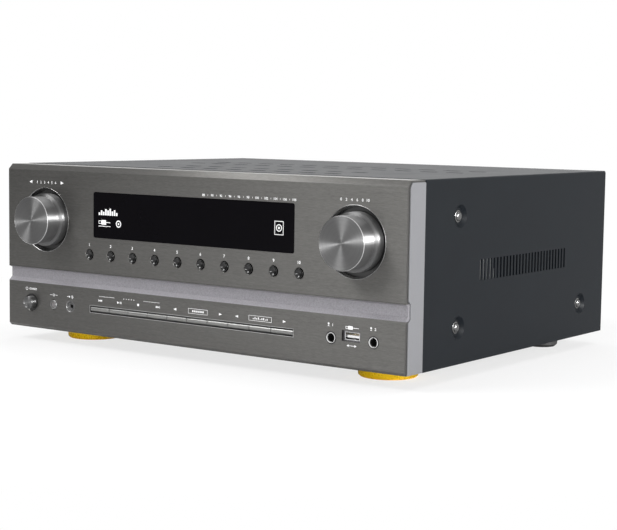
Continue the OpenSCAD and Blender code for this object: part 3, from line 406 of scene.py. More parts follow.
# the screen's bright end and its darkest line, in degrees to the right of the front, and how wide it is
SCREEN_RIGHT = -16
SCREEN_DARK = -56
SCREEN_WIDE = 110
# the sheet's near edge, the foot of its wall and the top of its wall, as metres out and up
SCREEN_PROFILE = [(0.8, 0.001), (3.0, 0.001), (3.0, 2.4)]


def stand_dark_screen():
    """A dark sheet on the floor and up a curved wall at the front left, seen only in reflections."""
    bm = bmesh.new()
    start = radians(SCREEN_RIGHT)
    verts = [bm.verts.new((sin(start) * r, -cos(start) * r, z)) for r, z in SCREEN_PROFILE]
    edges = [bm.edges.new(pair) for pair in zip(verts, verts[1:])]
    bmesh.ops.spin(
        bm, geom=verts + edges, cent=(0, 0, 0), axis=(0, 0, 1), angle=-radians(SCREEN_WIDE), steps=24,
        use_duplicate=False,
    )
    material, tree, glow = glowing("screen cloth")
    where = tree.nodes.new("ShaderNodeTexCoord")
    parts = tree.nodes.new("ShaderNodeSeparateXYZ")
    tree.links.new(where.outputs["Object"], parts.inputs[0])
    # the angle from straight ahead, in radians to the right
    turn = maths(tree, "ARCTAN2", parts.outputs["X"], maths(tree, "MULTIPLY", parts.outputs["Y"], -1.0))
    fade = tree.nodes.new("ShaderNodeMapRange")
    fade.inputs["From Min"].default_value = radians(SCREEN_DARK)
    fade.inputs["From Max"].default_value = radians(SCREEN_RIGHT)
    fade.inputs["To Min"].default_value = 0.2
    fade.inputs["To Max"].default_value = 1.0
    tree.links.new(turn, fade.inputs["Value"])
    tree.links.new(fade.outputs[0], glow.inputs["Strength"])
    only_in_reflections(stage_object("dark_screen", bm, material))


def lay_floor():
    """A wide pale floor that keeps the object's shadow and fades into the white backdrop."""
    bm = bmesh.new()
    bmesh.ops.create_circle(bm, cap_ends=True, radius=6, segments=64)
    material = bpy.data.materials.new("pale floor")
    material.use_nodes = True
    tree = material.node_tree
    shader = tree.nodes["Principled BSDF"]
    shader.inputs["Base Color"].default_value = (0.9, 0.9, 0.9, 1)
    shader.inputs["Roughness"].default_value = 0.9
    glow = tree.nodes.new("ShaderNodeEmission")
    where = tree.nodes.new("ShaderNodeTexCoord")
    length = tree.nodes.new("ShaderNodeVectorMath")
    length.operation = "LENGTH"
    tree.links.new(where.outputs["Object"], length.inputs[0])
    fade = tree.nodes.new("ShaderNodeMapRange")
    fade.interpolation_type = "SMOOTHSTEP"
    fade.inputs["From Min"].default_value = 0.26
    fade.inputs["From Max"].default_value = 0.6
    tree.links.new(length.outputs["Value"], fade.inputs["Value"])
    path = tree.nodes.new("ShaderNodeLightPath")
    amount = maths(tree, "MULTIPLY", fade.outputs[0], sees_background(tree))
    pale = maths(tree, "MULTIPLY", path.outputs["Is Camera Ray"], 0.72)
    blend = tree.nodes.new("ShaderNodeMixShader")
    tree.links.new(maths(tree, "MAXIMUM", amount, pale), blend.inputs["Fac"])
    tree.links.new(shader.outputs[0], blend.inputs[1])
    tree.links.new(glow.outputs[0], blend.inputs[2])
    tree.links.new(blend.outputs[0], tree.nodes["Material Output"].inputs["Surface"])
    stage_object("floor", bm, material)


place_camera()
light_world()
area_light("key_light", from_middle(24, 6, 2.3), (1.2, 0.3), 18)
area_light("side_light", from_middle(96, 14, 2.2), (1.0, 0.8), 14)
area_light("fill_light", from_middle(-36, 42, 2.4), (1.05, 0.75), 28)
area_light("top_light", from_middle(150, 75, 2.5), (2.0, 1.6), 24)
area_light("back_light", from_middle(212, 22, 2.6), (2.0, 0.9), 5)
stand_bright_card("front_card", from_middle(24, 6, 2.2), (1.2, 0.16), 12)
stand_bright_card("side_card", from_middle(87, 12, 2.1), (0.9, 0.2), 240)
stand_dark_screen()
lay_floor()
scene.view_settings.view_transform = "Standard"

# ---------- finishes ----------

# the finish of each material slot
FINISH_OF = {
    "front_aluminium": finish(
        "front aluminium", BRUSHED, (0.096, 0.094, 0.09), (0.176, 0.173, 0.166), (0.34, 0.44), 0.000006, 1.0,
        {"Contrast": 1.7}, anisotropic=0.85, anisotropic_rotation=0.25,
    ),
    "band_silver": finish(
        "band silver", FLAKES, (0.178, 0.173, 0.186), (0.292, 0.284, 0.305), (0.36, 0.5), 0.00001, 0.45,
        {"Contrast": 2.8},
    ),
    "cap_silver": finish(
        "cap silver", FLAKES, (0.17, 0.172, 0.182), (0.235, 0.237, 0.25), (0.4, 0.52), 0.00001, 0.15,
        {"Contrast": 1.2},
    ),
    "cover_paint": finish(
        "cover paint", GRAIN, (0.0055, 0.0075, 0.0105), (0.009, 0.012, 0.0155), (0.4, 0.5), 0.00002, 0.0,
        {"Size": 2200.0, "Contrast": 1.6}, specular_ior_level=0.08,
    ),
    "rear_paint": finish(
        "rear paint", GRAIN, (0.012, 0.0125, 0.014), (0.024, 0.025, 0.027), (0.42, 0.55), 0.00002, 0.0,
        {"Size": 2200.0, "Contrast": 1.6}, specular_ior_level=0.3,
    ),
    "zinc_steel": finish(
        "zinc steel", GRAIN, (0.42, 0.43, 0.43), (0.62, 0.63, 0.62), (0.25, 0.42), 0.00001, 1.0,
        {"Size": 300.0, "Contrast": 1.6},
    ),
    "window_acrylic": finish(
        "window acrylic", GRAIN, (0.0014, 0.0012, 0.0018), (0.0026, 0.0022, 0.0032), (0.06, 0.1), 0.000001,
        0.0, {"Size": 40.0}, specular_ior_level=0.05,
    ),
    "tube_glass": finish(
        "tube glass", GRAIN, (0.03, 0.06, 0.055), (0.05, 0.085, 0.08), (0.08, 0.16), 0.00001, 0.0,
        {"Size": 1500.0},
    ),
    "well_black": finish(
        "well metal", GRAIN, grey(0.05), grey(0.08), (0.28, 0.4), 0.000005, 0.9, {"Size": 900.0}
    ),
    "knob_aluminium": turned_finish("volume knob metal", "volume_knob", 0.13, 0.22, (0.4, 0.5)),
    "power_aluminium": turned_finish("power button metal", "power_button", 0.12, 0.2, (0.36, 0.46)),
    "encoder_metal": finish(
        "encoder metal", GRAIN, grey(0.4), grey(0.5), (0.25, 0.4), 0.00001, 1.0, {"Size": 900.0}
    ),
    "button_black": finish(
        "button black", GRAIN, grey(0.0015), grey(0.003), (0.08, 0.12), 0.000002, 0.0, {"Size": 900.0},
        specular_ior_level=0.5,
    ),
    "black_moulding": finish(
        "black moulding", GRAIN, grey(0.012), grey(0.022), (0.4, 0.55), 0.00003, 0.0, {"Size": 1800.0},
        specular_ior_level=0.35,
    ),
    "jack_grey": finish(
        "jack grey", GRAIN, grey(0.05), grey(0.08), (0.3, 0.42), 0.00001, 0.0, {"Size": 1800.0}
    ),
    "key_silver": finish(
        "key silver", FLAKES, (0.2, 0.2, 0.195), (0.3, 0.3, 0.292), (0.26, 0.38), 0.00001, 0.85
    ),
    "lens_clear": finish(
        "frosted lens", GRAIN, (0.1, 0.095, 0.096), (0.17, 0.16, 0.162), (0.1, 0.18), 0.00001, 0.0,
        {"Size": 1200.0},
    ),
    "plated_metal": finish(
        "plated metal", GRAIN, grey(0.6), grey(0.72), (0.1, 0.22), 0.000004, 1.0, {"Size": 700.0}
    ),
    "green_board": finish(
        "green board", GRAIN, (0.01, 0.07, 0.025), (0.02, 0.12, 0.045), (0.25, 0.4), 0.00002, 0.0,
        {"Size": 420.0, "Contrast": 2.0},
    ),
    "amber_board": finish(
        "amber board", GRAIN, (0.2, 0.12, 0.03), (0.33, 0.21, 0.06), (0.35, 0.5), 0.00002, 0.0,
        {"Size": 420.0, "Contrast": 2.0},
    ),
    "foot_gold": finish(
        "foot gold", GRAIN, (0.8, 0.5, 0.001), (0.95, 0.62, 0.003), (0.22, 0.34), 0.00001, 0.35,
        {"Size": 700.0},
    ),
    "foot_rubber": finish(
        "foot rubber", GRAIN, grey(0.008), grey(0.016), (0.5, 0.68), 0.00004, 0.0, {"Size": 1400.0}
    ),
    "winding_tape": finish(
        "winding tape", GRAIN, (0.5, 0.3, 0.03), (0.68, 0.44, 0.06), (0.25, 0.4), 0.00005, 0.0,
        {"Size": 260.0},
    ),
    "sink_black": finish(
        "sink black", GRAIN, grey(0.014), grey(0.028), (0.35, 0.5), 0.00001, 0.6, {"Size": 900.0}
    ),
    "chip_black": finish(
        "chip black", GRAIN, grey(0.012), grey(0.02), (0.4, 0.55), 0.00002, 0.0, {"Size": 1800.0}
    ),
    "capacitor_sleeve": finish(
        "capacitor sleeve", GRAIN, (0.006, 0.008, 0.04), (0.012, 0.016, 0.075), (0.15, 0.28), 0.00001, 0.0,
        {"Size": 600.0},
    ),
    "lever_red": finish(
        "lever red", GRAIN, (0.34, 0.008, 0.006), (0.46, 0.014, 0.01), (0.2, 0.32), 0.00001, 0.0,
        {"Size": 1500.0},
    ),
    "lever_black": finish(
        "lever black", GRAIN, grey(0.01), grey(0.018), (0.22, 0.34), 0.00001, 0.0, {"Size": 1500.0}
    ),
    "tuner_tin": finish(
        "tuner tin", GRAIN, grey(0.45), grey(0.6), (0.22, 0.38), 0.00001, 1.0, {"Size": 300.0}
    ),
    "screw_steel": finish(
        "screw steel", GRAIN, grey(0.1), grey(0.17), (0.16, 0.28), 0.000006, 1.0, {"Size": 1200.0}
    ),
    "cable_grey": finish(
        "cable grey", GRAIN, grey(0.42), grey(0.52), (0.4, 0.55), 0.00002, 0.0, {"Size": 900.0}
    ),
    "print_ink": finish(
        "print ink", GRAIN, grey(0.78), grey(0.9), (0.4, 0.5), 0.000002, 0.0, {"Size": 1500.0}
    ),
    "contact_gold": finish(
        "contact gold", GRAIN, (0.7, 0.5, 0.2), (0.85, 0.63, 0.28), (0.2, 0.32), 0.000004, 1.0,
        {"Size": 900.0},
    ),
}

# finishes of the fine parts alone
# aluminium far brighter than that of the plates and knobs, for cut edges: partly a polished cut, partly
# painted highlight
cut_aluminium_and_painted_highlight = finish(
    "cut aluminium and painted highlight", GRAIN, grey(0.5), grey(0.62), (0.25, 0.35), 0.000004, 1.0, {"Size": 900.0}
)
# near-black: the bores of the jacks, and painted shade round the power button and microphone jacks and under
# the upper plate
dark_bore_and_painted_shade = finish(
    "dark bore and painted shade", GRAIN, grey(0.004), grey(0.008), (0.4, 0.6), 0.00001, 0.0, {"Size": 1500.0}
)
lens_ring = finish(
    "lens ring", GRAIN, grey(0.2), grey(0.28), (0.2, 0.3), 0.000004, 0.6, {"Size": 900.0}
)
tongue_white = finish(
    "tongue white", GRAIN, grey(0.68), grey(0.78), (0.3, 0.42), 0.00001, 0.0, {"Size": 1500.0}
)

for node, slot_name in SLOT_OF.items():
    dress(node, FINISH_OF[slot_name])
dress("selector_knob", turned_finish("selector knob metal", "selector_knob", 0.13, 0.22, (0.4, 0.5)))

# ---------- how a fine part is made ----------

# the sides of a turned part, by its size
BIG, MEDIUM, SMALL, TINY = 96, 64, 48, 32


def turned(profile, x, z, steps, closed=True):
    """A bmesh turned round an axis along Y through (x, z), from (radius, y) points in millimetres."""
    bm = bmesh.new()
    verts = [bm.verts.new(at(x + r, y, z)) for r, y in profile]
    edges = [bm.edges.new(pair) for pair in zip(verts, verts[1:])]
    if closed:
        edges.append(bm.edges.new((verts[-1], verts[0])))
    bmesh.ops.spin(
        bm, geom=verts + edges, cent=at(x, 0, z), axis=(0, 1, 0), angle=2 * pi, steps=steps, use_merge=True
    )
    bmesh.ops.remove_doubles(bm, verts=bm.verts, dist=1e-6)
    bmesh.ops.recalc_face_normals(bm, faces=bm.faces)
    return bm


def gather(target, source):
    """Moves one bmesh into another."""
    mesh = bpy.data.meshes.new("gathered")
    source.to_mesh(mesh)
    source.free()
    target.from_mesh(mesh)
    bpy.data.meshes.remove(mesh)


def box_between(bm, low, high):
    """Adds a box to a bmesh, from its low and high corners in millimetres of the case's frame."""
    low, high = at(*low), at(*high)
    bmesh.ops.create_cube(
        bm, size=1, matrix=Matrix.Translation((low + high) / 2) @ Matrix.Diagonal((*(high - low), 1))
    )


def round_edges(bm, width):
    """Rounds every edge of a bmesh by a width in millimetres."""
    bmesh.ops.bevel(
        bm, geom=bm.edges[:], offset=width * MM, offset_type="OFFSET", segments=2, profile=0.5,
        affect="EDGES", clamp_overlap=True, material=-1,
    )


def edge_and_highlight_ring(name, x, z, inner, outer, rise=0.08, material=cut_aluminium_and_painted_highlight):
    """A bright cut edge, partly painted highlight: a thin conical ring that lies on a chamfer between two
    radii.
    """
    drop = outer - inner
    profile = [
        (inner - rise / 2, drop), (inner - rise / 2, drop - rise), (outer, -rise), (outer + rise, -rise / 2),
        (outer + rise, 0.05),
    ]
    add_object(name, turned(profile, x, z, BIG), material, "case")


def pushed_up(bm, faces):
    """Extrudes faces and gives back the new vertices. The faces themselves stay where they are."""
    made = bmesh.ops.extrude_face_region(bm, geom=faces)["geom"]
    return [v for v in made if isinstance(v, bmesh.types.BMVert)]


def place_of(node):
    """The x and z of a CAD node's middle, in millimetres of the case's frame."""
    centre = middle(node)
    return centre.x / MM, (centre.z - UNDER_Z) / MM


POWER_X, JACK_Z = place_of("power_button")
AUX_X = place_of("aux_jack")[0]
LENS_X = place_of("standby_lens")[0]

# ---------- knobs, buttons and keys ----------


def trim_knobs():
    """The bright cut edge of each knob's well, and the bright cut rim of its face, both partly painted
    highlight.
    """
    for node in ("selector_knob", "volume_knob"):
        x, z = place_of(node)
        edge_and_highlight_ring(node + "_well_edge_and_highlight", x, z, 28.05, 28.5)
        profile = [(20.7, -17.82), (20.74, -17.86), (21.02, -17.56), (21.02, -17.4), (20.8, -17.4)]
        add_object(node + "_rim_and_highlight", turned(profile, x, z, BIG), cut_aluminium_and_painted_highlight, node)


def paint_shade_round_power_button():
    """A near-black ring that fills the gap round the power button: painted shade."""
    profile = [(5.95, 0.5), (7.66, 0.5), (7.66, 2.3), (5.95, 2.3)]
    add_object("power_gap_painted_shade", turned(profile, POWER_X, JACK_Z, MEDIUM), dark_bore_and_painted_shade, "case")


# the ball that hollows the face of a source button: its radius, and how far its middle is before the plate
BALL_RADIUS, BALL_FRONT = 5.0, 4.07


def dish_buttons():
    """The source buttons: a round dish in a narrow rim, with the flange and the stem behind."""
    dish = [(0.25 * k, sqrt(BALL_RADIUS ** 2 - (0.25 * k) ** 2) - BALL_FRONT) for k in range(15)]
    rim = [(3.72, -0.48), (3.86, -0.36), (3.9, -0.2)]
    flange = [(3.9, 6.3), (5.8, 6.3), (5.8, 7.5)]
    stem = [(1.6, 7.5), (1.6, 11), (0, 11)]
    for n in range(1, 11):
        node = f"source_button_{n}"
        button = turned(dish + rim + flange + stem, *place_of(node), SMALL, closed=False)
        piece = add_object(node + "_dished", button, FINISH_OF["button_black"], node, 50)
        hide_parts(node)


# the slot of the play keys in the lower plate, and how far the bright strip of painted highlight along its
# edge lies outside and inside the slot
SLOT_LEFT, SLOT_RIGHT, SLOT_LOW, SLOT_HIGH = -112.2, 109.8, 20.3, 26.5
OUTSIDE, INSIDE = 0.28, 0.02


def paint_highlight_round_key_slot():
    """A bright strip round the slot of the play keys: painted highlight along its edge."""
    bm = bmesh.new()
    for z0, z1 in ((SLOT_LOW - OUTSIDE, SLOT_LOW + INSIDE), (SLOT_HIGH - INSIDE, SLOT_HIGH + OUTSIDE)):
        box_between(bm, (SLOT_LEFT - OUTSIDE, -0.04, z0), (SLOT_RIGHT + OUTSIDE, 0.3, z1))
    for x0, x1 in ((SLOT_LEFT - OUTSIDE, SLOT_LEFT + INSIDE), (SLOT_RIGHT - INSIDE, SLOT_RIGHT + OUTSIDE)):
        box_between(bm, (x0, -0.04, SLOT_LOW), (x1, 0.3, SLOT_HIGH))
    # the bright strip is painted highlight along the slot's edge
    add_object("key_slot_painted_highlight", bm, cut_aluminium_and_painted_highlight, "case")


def paint_shadow_under_upper_plate():
    """A near-black strip along the lower edge of the upper plate, over the band: a painted shadow."""
    (left, _, under), (right, _, _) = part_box("upper_plate")
    z = (under - UNDER_Z) / MM
    bm = bmesh.new()
    corners = [(-0.03, z + 0.75), (-0.03, z + 0.5), (0.5, z - 0.03), (0.6, z + 0.1)]
    face = bm.faces.new([bm.verts.new(at(left / MM, y, z)) for y, z in corners])
    bmesh.ops.translate(bm, vec=(right - left, 0, 0), verts=pushed_up(bm, [face]))
    bmesh.ops.recalc_face_normals(bm, faces=bm.faces)
    # the strip is painted shadow under the upper plate, not a part of the plate
    add_object("upper_plate_painted_shadow", bm, dark_bore_and_painted_shade, "case")


# ---------- sockets and the lens ----------


def line_front_jacks():
    """Edges, liners and bores of the small input jack and the two microphone jacks, a dark ring of painted
    shade round each microphone jack, and the lens's ring.
    """
    # a brighter ring on the chamfer of the small jack's hole: partly its cut edge, partly painted highlight
    edge_and_highlight_ring("aux_hole_edge_and_highlight", AUX_X, JACK_Z, 4.8, 5.12, 0.06, lens_ring)
    cone = turned([(3.76, 1.2), (4.78, 0.26), (4.9, 0.3), (3.86, 1.3)], AUX_X, JACK_Z, MEDIUM)
    add_object("aux_hole_cone", cone, FINISH_OF["jack_grey"], "case")
    ring = turned([(3.0, -0.75), (3.5, -0.72), (4.0, -0.25), (4.0, 0.0), (3.0, 0.0)], LENS_X, JACK_Z, SMALL)
    add_object("standby_ring", ring, lens_ring, "case")
    for n in (1, 2):
        x, z = place_of(f"mic_jack_{n}")
        bore = turned([(3.24, 0.4), (3.24, 30.0), (3.0, 30.0), (3.0, 0.4)], x, z, SMALL)
        add_object(f"mic_bore_{n}", bore, dark_bore_and_painted_shade, "case")
        # a near-black flat ring round each microphone jack's collar: painted shade in the gap there
        gap_shade = turned([(4.32, -0.02), (4.95, -0.02), (4.95, 0.4), (4.32, 0.4)], x, z, SMALL)
        add_object(f"mic_gap_painted_shade_{n}", gap_shade, dark_bore_and_painted_shade, "case")
    bore = turned([(1.79, 2.2), (1.79, 11.5), (1.6, 11.5), (1.6, 2.2)], AUX_X, JACK_Z, TINY)
    add_object("aux_bore", bore, dark_bore_and_painted_shade, "case")


def fit_usb_socket():
    """The USB socket's pale tongue and its four contacts."""
    low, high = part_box("usb_port")
    x = (low[0] + high[0]) / 2 / MM
    z = (high[2] - UNDER_Z) / MM - 3.1
    bm = bmesh.new()
    box_between(bm, (x - 5.65, 3.3, z - 1.5), (x + 5.65, 16.5, z + 0.5))
    round_edges(bm, 0.25)
    add_object("usb_tongue", bm, tongue_white, "case")
    bm = bmesh.new()
    for n in range(4):
        contact_x = x - 3.5 + n * 7 / 3
        box_between(bm, (contact_x - 0.6, 4.0, z + 0.45), (contact_x + 0.6, 13, z + 0.62))
    add_object("usb_contacts", bm, FINISH_OF["contact_gold"], "case")


# the rear sockets: the columns and rows of the phono jacks, and the middle of the inlet
PHONO_COLUMNS = (-7, 11, 29, 47)
PHONO_ROWS = (("white", 107.0), ("red", 89.0))
INLET_X, INLET_Z = 165, 36


def fit_phono_jacks():
    """A coloured collar and a plated sleeve on each phono jack."""
    collar = [(4.2, 336.52), (6.9, 336.52), (6.9, 337.6), (6.5, 338.0), (4.2, 338.0)]
    sleeve = [(4.16, 338.0), (4.28, 338.0), (4.28, 345.6), (4.16, 345.9)]
    collars = {"white": bmesh.new(), "red": bmesh.new()}
    sleeves = bmesh.new()
    for x in PHONO_COLUMNS:
        for tint, z in PHONO_ROWS:
            gather(collars[tint], turned(collar, x, z, TINY))
            gather(sleeves, turned(sleeve, x, z, TINY))
    for tint, slot_name in (("white", "print_ink"), ("red", "lever_red")):
        add_object(f"phono_collars_{tint}", collars[tint], FINISH_OF[slot_name], "case")
    add_object("phono_sleeves", sleeves, FINISH_OF["plated_metal"], "case")


def fit_inlet_pins():
    """The three plated pins of the mains inlet."""
    bm = bmesh.new()
    for dx, dz in ((-7, 3), (7, 3), (0, -3.5)):
        x, z = INLET_X + dx, INLET_Z + dz
        box_between(bm, (x - 1.04, 319.6, z - 2.04), (x + 1.04, 334.56, z + 2.04))
    round_edges(bm, 0.4)
    add_object("inlet_pins", bm, FINISH_OF["plated_metal"], "case")


trim_knobs()
paint_shade_round_power_button()
line_front_jacks()
fit_usb_socket()
dish_buttons()
fit_phono_jacks()
fit_inlet_pins()
paint_shadow_under_upper_plate()
paint_highlight_round_key_slot()

# ---------- screws ----------

# half the width and half the length of the cross in a screw's head, and its depth
CROSS_ARM, CROSS_REACH, CROSS_DEPTH = 0.55 * MM, 2.5 * MM, 1.3 * MM
# how far from the middle the heads at the sides sit
SCREW_SEAT_X = 212.4
# how far the first screw is turned, and how much further each next one, in radians
FIRST_TURN, NEXT_TURN = 0.35, 1.1


def screw_head():
    """A flanged pan head, head up, its underside at the origin, its shank, and a cross under its top."""
    bm = bmesh.new()
    profile = [
        (0, 2.38), (1.3, 2.33), (2.5, 2.08), (3.3, 1.62), (3.7, 1.05), (3.78, 0.72), (4.5, 0.62), (4.9, 0.42),
        (4.98, 0.15), (4.98, 0), (1.88, 0), (1.88, -7.9), (0, -7.9),
    ]
    verts = [bm.verts.new((r * MM, 0, z * MM)) for r, z in profile]
    edges = [bm.edges.new(pair) for pair in zip(verts, verts[1:])]
    bmesh.ops.spin(
        bm, geom=verts + edges, cent=(0, 0, 0), axis=(0, 0, 1), angle=2 * pi, steps=TINY, use_merge=True
    )
    bmesh.ops.remove_doubles(bm, verts=bm.verts, dist=1e-6)
    bmesh.ops.recalc_face_normals(bm, faces=bm.faces)
    # The top is parted along the sides of a cross, and a copy of the cross is pushed in. The top's own faces
    # are left over it, so the recess doesn't show.
    for across in (CROSS_ARM, -CROSS_ARM, CROSS_REACH, -CROSS_REACH):
        for way in ((1, 0, 0), (0, 1, 0)):
            top = [f for f in bm.faces if f.calc_center_median().z > 0.7 * MM]
            parts = set(top) | {e for f in top for e in f.edges} | {v for f in top for v in f.verts}
            bmesh.ops.bisect_plane(
                bm, geom=list(parts), dist=1e-7, plane_co=Vector(way) * across, plane_no=way
            )
    cross = []
    for face in bm.faces:
        centre = face.calc_center_median()
        near, far = sorted((abs(centre.x), abs(centre.y)))
        if centre.z > 1.2 * MM and near < CROSS_ARM and far < CROSS_REACH:
            cross.append(face)
    sunk = pushed_up(bm, cross)
    bmesh.ops.translate(bm, vec=(0, 0, -CROSS_DEPTH), verts=sunk)
    bmesh.ops.scale(bm, vec=(0.72, 0.72, 1), verts=sunk)
    mesh = bpy.data.meshes.new("screw")
    bm.to_mesh(mesh)
    bm.free()
    return mesh


def screw_places():
    """Where the case's screws stand: a point under each head and the way its head points."""
    places = []
    for side in (-1, 1):
        for y, z in ((76.4, 117.4), (76.4, 29.3), (290.1, 29.3)):
            places.append((at(side * SCREW_SEAT_X, y, z), (side, 0, 0)))
    for x, y in ((162.5, 57.5), (178.5, 287.0)):
        for side in (-1, 1):
            places.append((at(side * x, y, -4.0), (0, 0, -1)))
    for x in (-150.5, 0, 150.5):
        places.append((at(x, 336.7, 140.6), (0, 1, 0)))
    for x in (-120.4, 0, 120.4):
        places.append((at(x, 335.5, 8.0), (0, 1, 0)))
    return places


def fit_screws():
    """All the case's screws in one piece, each at a turn of its own."""
    head = screw_head()
    bm = bmesh.new()
    for n, (place, way) in enumerate(screw_places()):
        upright = Vector(way).to_track_quat("Z", "Y").to_matrix().to_4x4()
        turn = upright @ Matrix.Rotation(FIRST_TURN + NEXT_TURN * n, 4, "Z")
        copy = head.copy()
        copy.transform(Matrix.Translation(place) @ turn)
        bm.from_mesh(copy)
        bpy.data.meshes.remove(copy)
    bpy.data.meshes.remove(head)
    screws = add_object("cross_head_screws", bm, FINISH_OF["screw_steel"], "case", 40)
    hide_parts("case_screws")


fit_screws()

# ---------- printed marks ----------

INK = 0.03  # how thick a coat of ink is
ROUND_STEPS = 28  # sides of a printed dot or ring


def facing_front(x, y, z):
    """The place of a flat mark that is drawn in X and Y and faces the front."""
    return Matrix.Translation(at(x, y - INK, z)) @ Matrix.Rotation(pi / 2, 4, "X")


def ink_bar(bm, x0, x1, z0, z1, y=0.0):
    """Adds a plain bar to the marks."""
    size = Matrix.Diagonal(((x1 - x0) * MM / 2, (z1 - z0) * MM / 2, 1, 1))
    bmesh.ops.create_grid(
        bm, x_segments=1, y_segments=1, size=1, matrix=facing_front((x0 + x1) / 2, y, (z0 + z1) / 2) @ size
    )


def ink_frame(bm, x0, x1, z0, z1, line, y=0.0):
    """Adds the outline of a box to the marks."""
    ink_bar(bm, x0, x1, z0, z0 + line, y)
    ink_bar(bm, x0, x1, z1 - line, z1, y)
    ink_bar(bm, x0, x0 + line, z0 + line, z1 - line, y)
    ink_bar(bm, x1 - line, x1, z0 + line, z1 - line, y)


def ink_arrow(bm, x, z, width, height, way, y=0.0):
    """Adds a triangle that points left (-1) or right (1)."""
    size = Matrix.Diagonal((width / 1.5 * MM, height / sqrt(3) * MM, 1, 1))
    shape = Matrix.Translation((-way * width * MM / 6, 0, 0)) @ size @ Matrix.Rotation(-way * pi / 2, 4, "Z")
    bmesh.ops.create_circle(bm, cap_ends=True, radius=1, segments=3, matrix=facing_front(x, y, z) @ shape)


def ink_disc(bm, x, z, radius, y=0.0):
    """Adds a round dot to the marks."""
    bmesh.ops.create_circle(
        bm, cap_ends=True, radius=radius * MM, segments=ROUND_STEPS, matrix=facing_front(x, y, z)
    )


def ink_ring(bm, x, z, radius, line, y=0.0, gap=0.0):
    """Adds a ring to the marks, with a gap of some degrees at its top."""
    place = facing_front(x, y, z)
    start = Matrix.Rotation(pi / 2 - radians(gap) / 2, 4, "Z")
    ends = [bm.verts.new(place @ start @ Vector((r * MM, 0, 0))) for r in (radius - line, radius)]
    edge = bm.edges.new(ends)
    bmesh.ops.spin(
        bm, geom=ends + [edge], cent=place.translation, axis=(0, 1, 0), angle=2 * pi - radians(gap),
        steps=ROUND_STEPS, use_merge=gap == 0,
    )


def ink_text(bm, text, x, z, height, y=0.0):
    """Adds plain lettering of a height to the marks, its middle at x and z."""
    curve = bpy.data.curves.new("lettering", "FONT")
    curve.body = text
    curve.resolution_u = 3
    curve.offset = 0.012
    holder = bpy.data.objects.new("lettering", curve)
    mesh = bpy.data.meshes.new_from_object(holder)
    low = [min(v.co[i] for v in mesh.vertices) for i in (0, 1)]
    high = [max(v.co[i] for v in mesh.vertices) for i in (0, 1)]
    size = height * MM / (high[1] - low[1])
    mesh.transform(
        facing_front(x, y, z) @ Matrix.Diagonal((size, size, 1, 1))
        @ Matrix.Translation((-(low[0] + high[0]) / 2, -(low[1] + high[1]) / 2, 0))
    )
    bm.from_mesh(mesh)
    bpy.data.objects.remove(holder)
    bpy.data.curves.remove(curve)
    bpy.data.meshes.remove(mesh)


def print_marks(name, bm):
    """Makes a piece of the marks, with the thickness of a coat of ink. Its faces end up pointing inwards."""
    bmesh.ops.triangulate(bm, faces=[f for f in bm.faces if len(f.verts) > 4])
    for face in bm.faces:
        face.normal_update()
        if face.normal.y > 0:
            face.normal_flip()
    bmesh.ops.solidify(bm, geom=bm.faces[:], thickness=-INK * MM)
    add_object(name, bm, FINISH_OF["print_ink"], "case")


# the rows of the printed marks, as heights in the case's frame
DIAL_ROW = 132
SCALE_ROW = 128.5
BUTTON_ROW = 79.6
TITLE_ROW = 35.3
LENS_ROW = 31.9
INPUT_ROW = 31.92
KEY_ROW = 31.6
USB_ROW = 18.7


def print_upper_plate():
    """A dial of numbers over each knob, a scale over the window and numbers over the buttons."""
    bm = bmesh.new()
    for x, way in ((-185.7, -1), (-146.3, 1)):
        ink_arrow(bm, x, DIAL_ROW, 3.6, 2.8, way)
    for n in range(6):
        ink_text(bm, str(n + 1), -177.5 + 4.6 * n, DIAL_ROW, 2.3)
        ink_text(bm, str(2 * n), 154 + 5.0 * n, DIAL_ROW - 0.9, 2.3)
    for n in range(11):
        ink_text(bm, str(88 + 2 * n), 16.5 + 9.3 * n, SCALE_ROW, 2.0)
        if n < 10:
            ink_bar(bm, 21.0 + 9.3 * n, 21.3 + 9.3 * n, SCALE_ROW - 0.6, SCALE_ROW + 0.6)
    for n in range(10):
        ink_text(bm, str(n + 1), -113.06 + 25.33 * n, BUTTON_ROW, 2.5)
    print_marks("dial_numbers", bm)


def ink_power(bm):
    """The power sign, and ON/OFF beside it."""
    ink_ring(bm, -191.4, TITLE_ROW, 1.45, 0.34, gap=70)
    ink_bar(bm, -191.58, -191.22, TITLE_ROW, 37.0)
    ink_text(bm, "ON/OFF", -183.3, TITLE_ROW, 1.9)


def ink_lens_and_input(bm):
    """A lamp sign over the standby lens, and an arrow into a socket over the small jack."""
    ink_ring(bm, LENS_X, LENS_ROW, 1.25, 0.3)
    ink_bar(bm, LENS_X - 0.15, LENS_X + 0.15, LENS_ROW - 0.7, LENS_ROW + 0.7)
    for x in (LENS_X - 4.6, LENS_X + 1.9):
        ink_bar(bm, x, x + 2.7, LENS_ROW - 0.15, LENS_ROW + 0.15)
    ink_bar(bm, AUX_X - 4.2, AUX_X - 1.6, INPUT_ROW - 0.17, INPUT_ROW + 0.18)
    ink_arrow(bm, AUX_X - 0.9, INPUT_ROW, 1.7, 1.9, 1)
    ink_ring(bm, AUX_X + 2.3, INPUT_ROW, 1.25, 0.3)
    ink_disc(bm, AUX_X + 2.3, INPUT_ROW, 0.4)


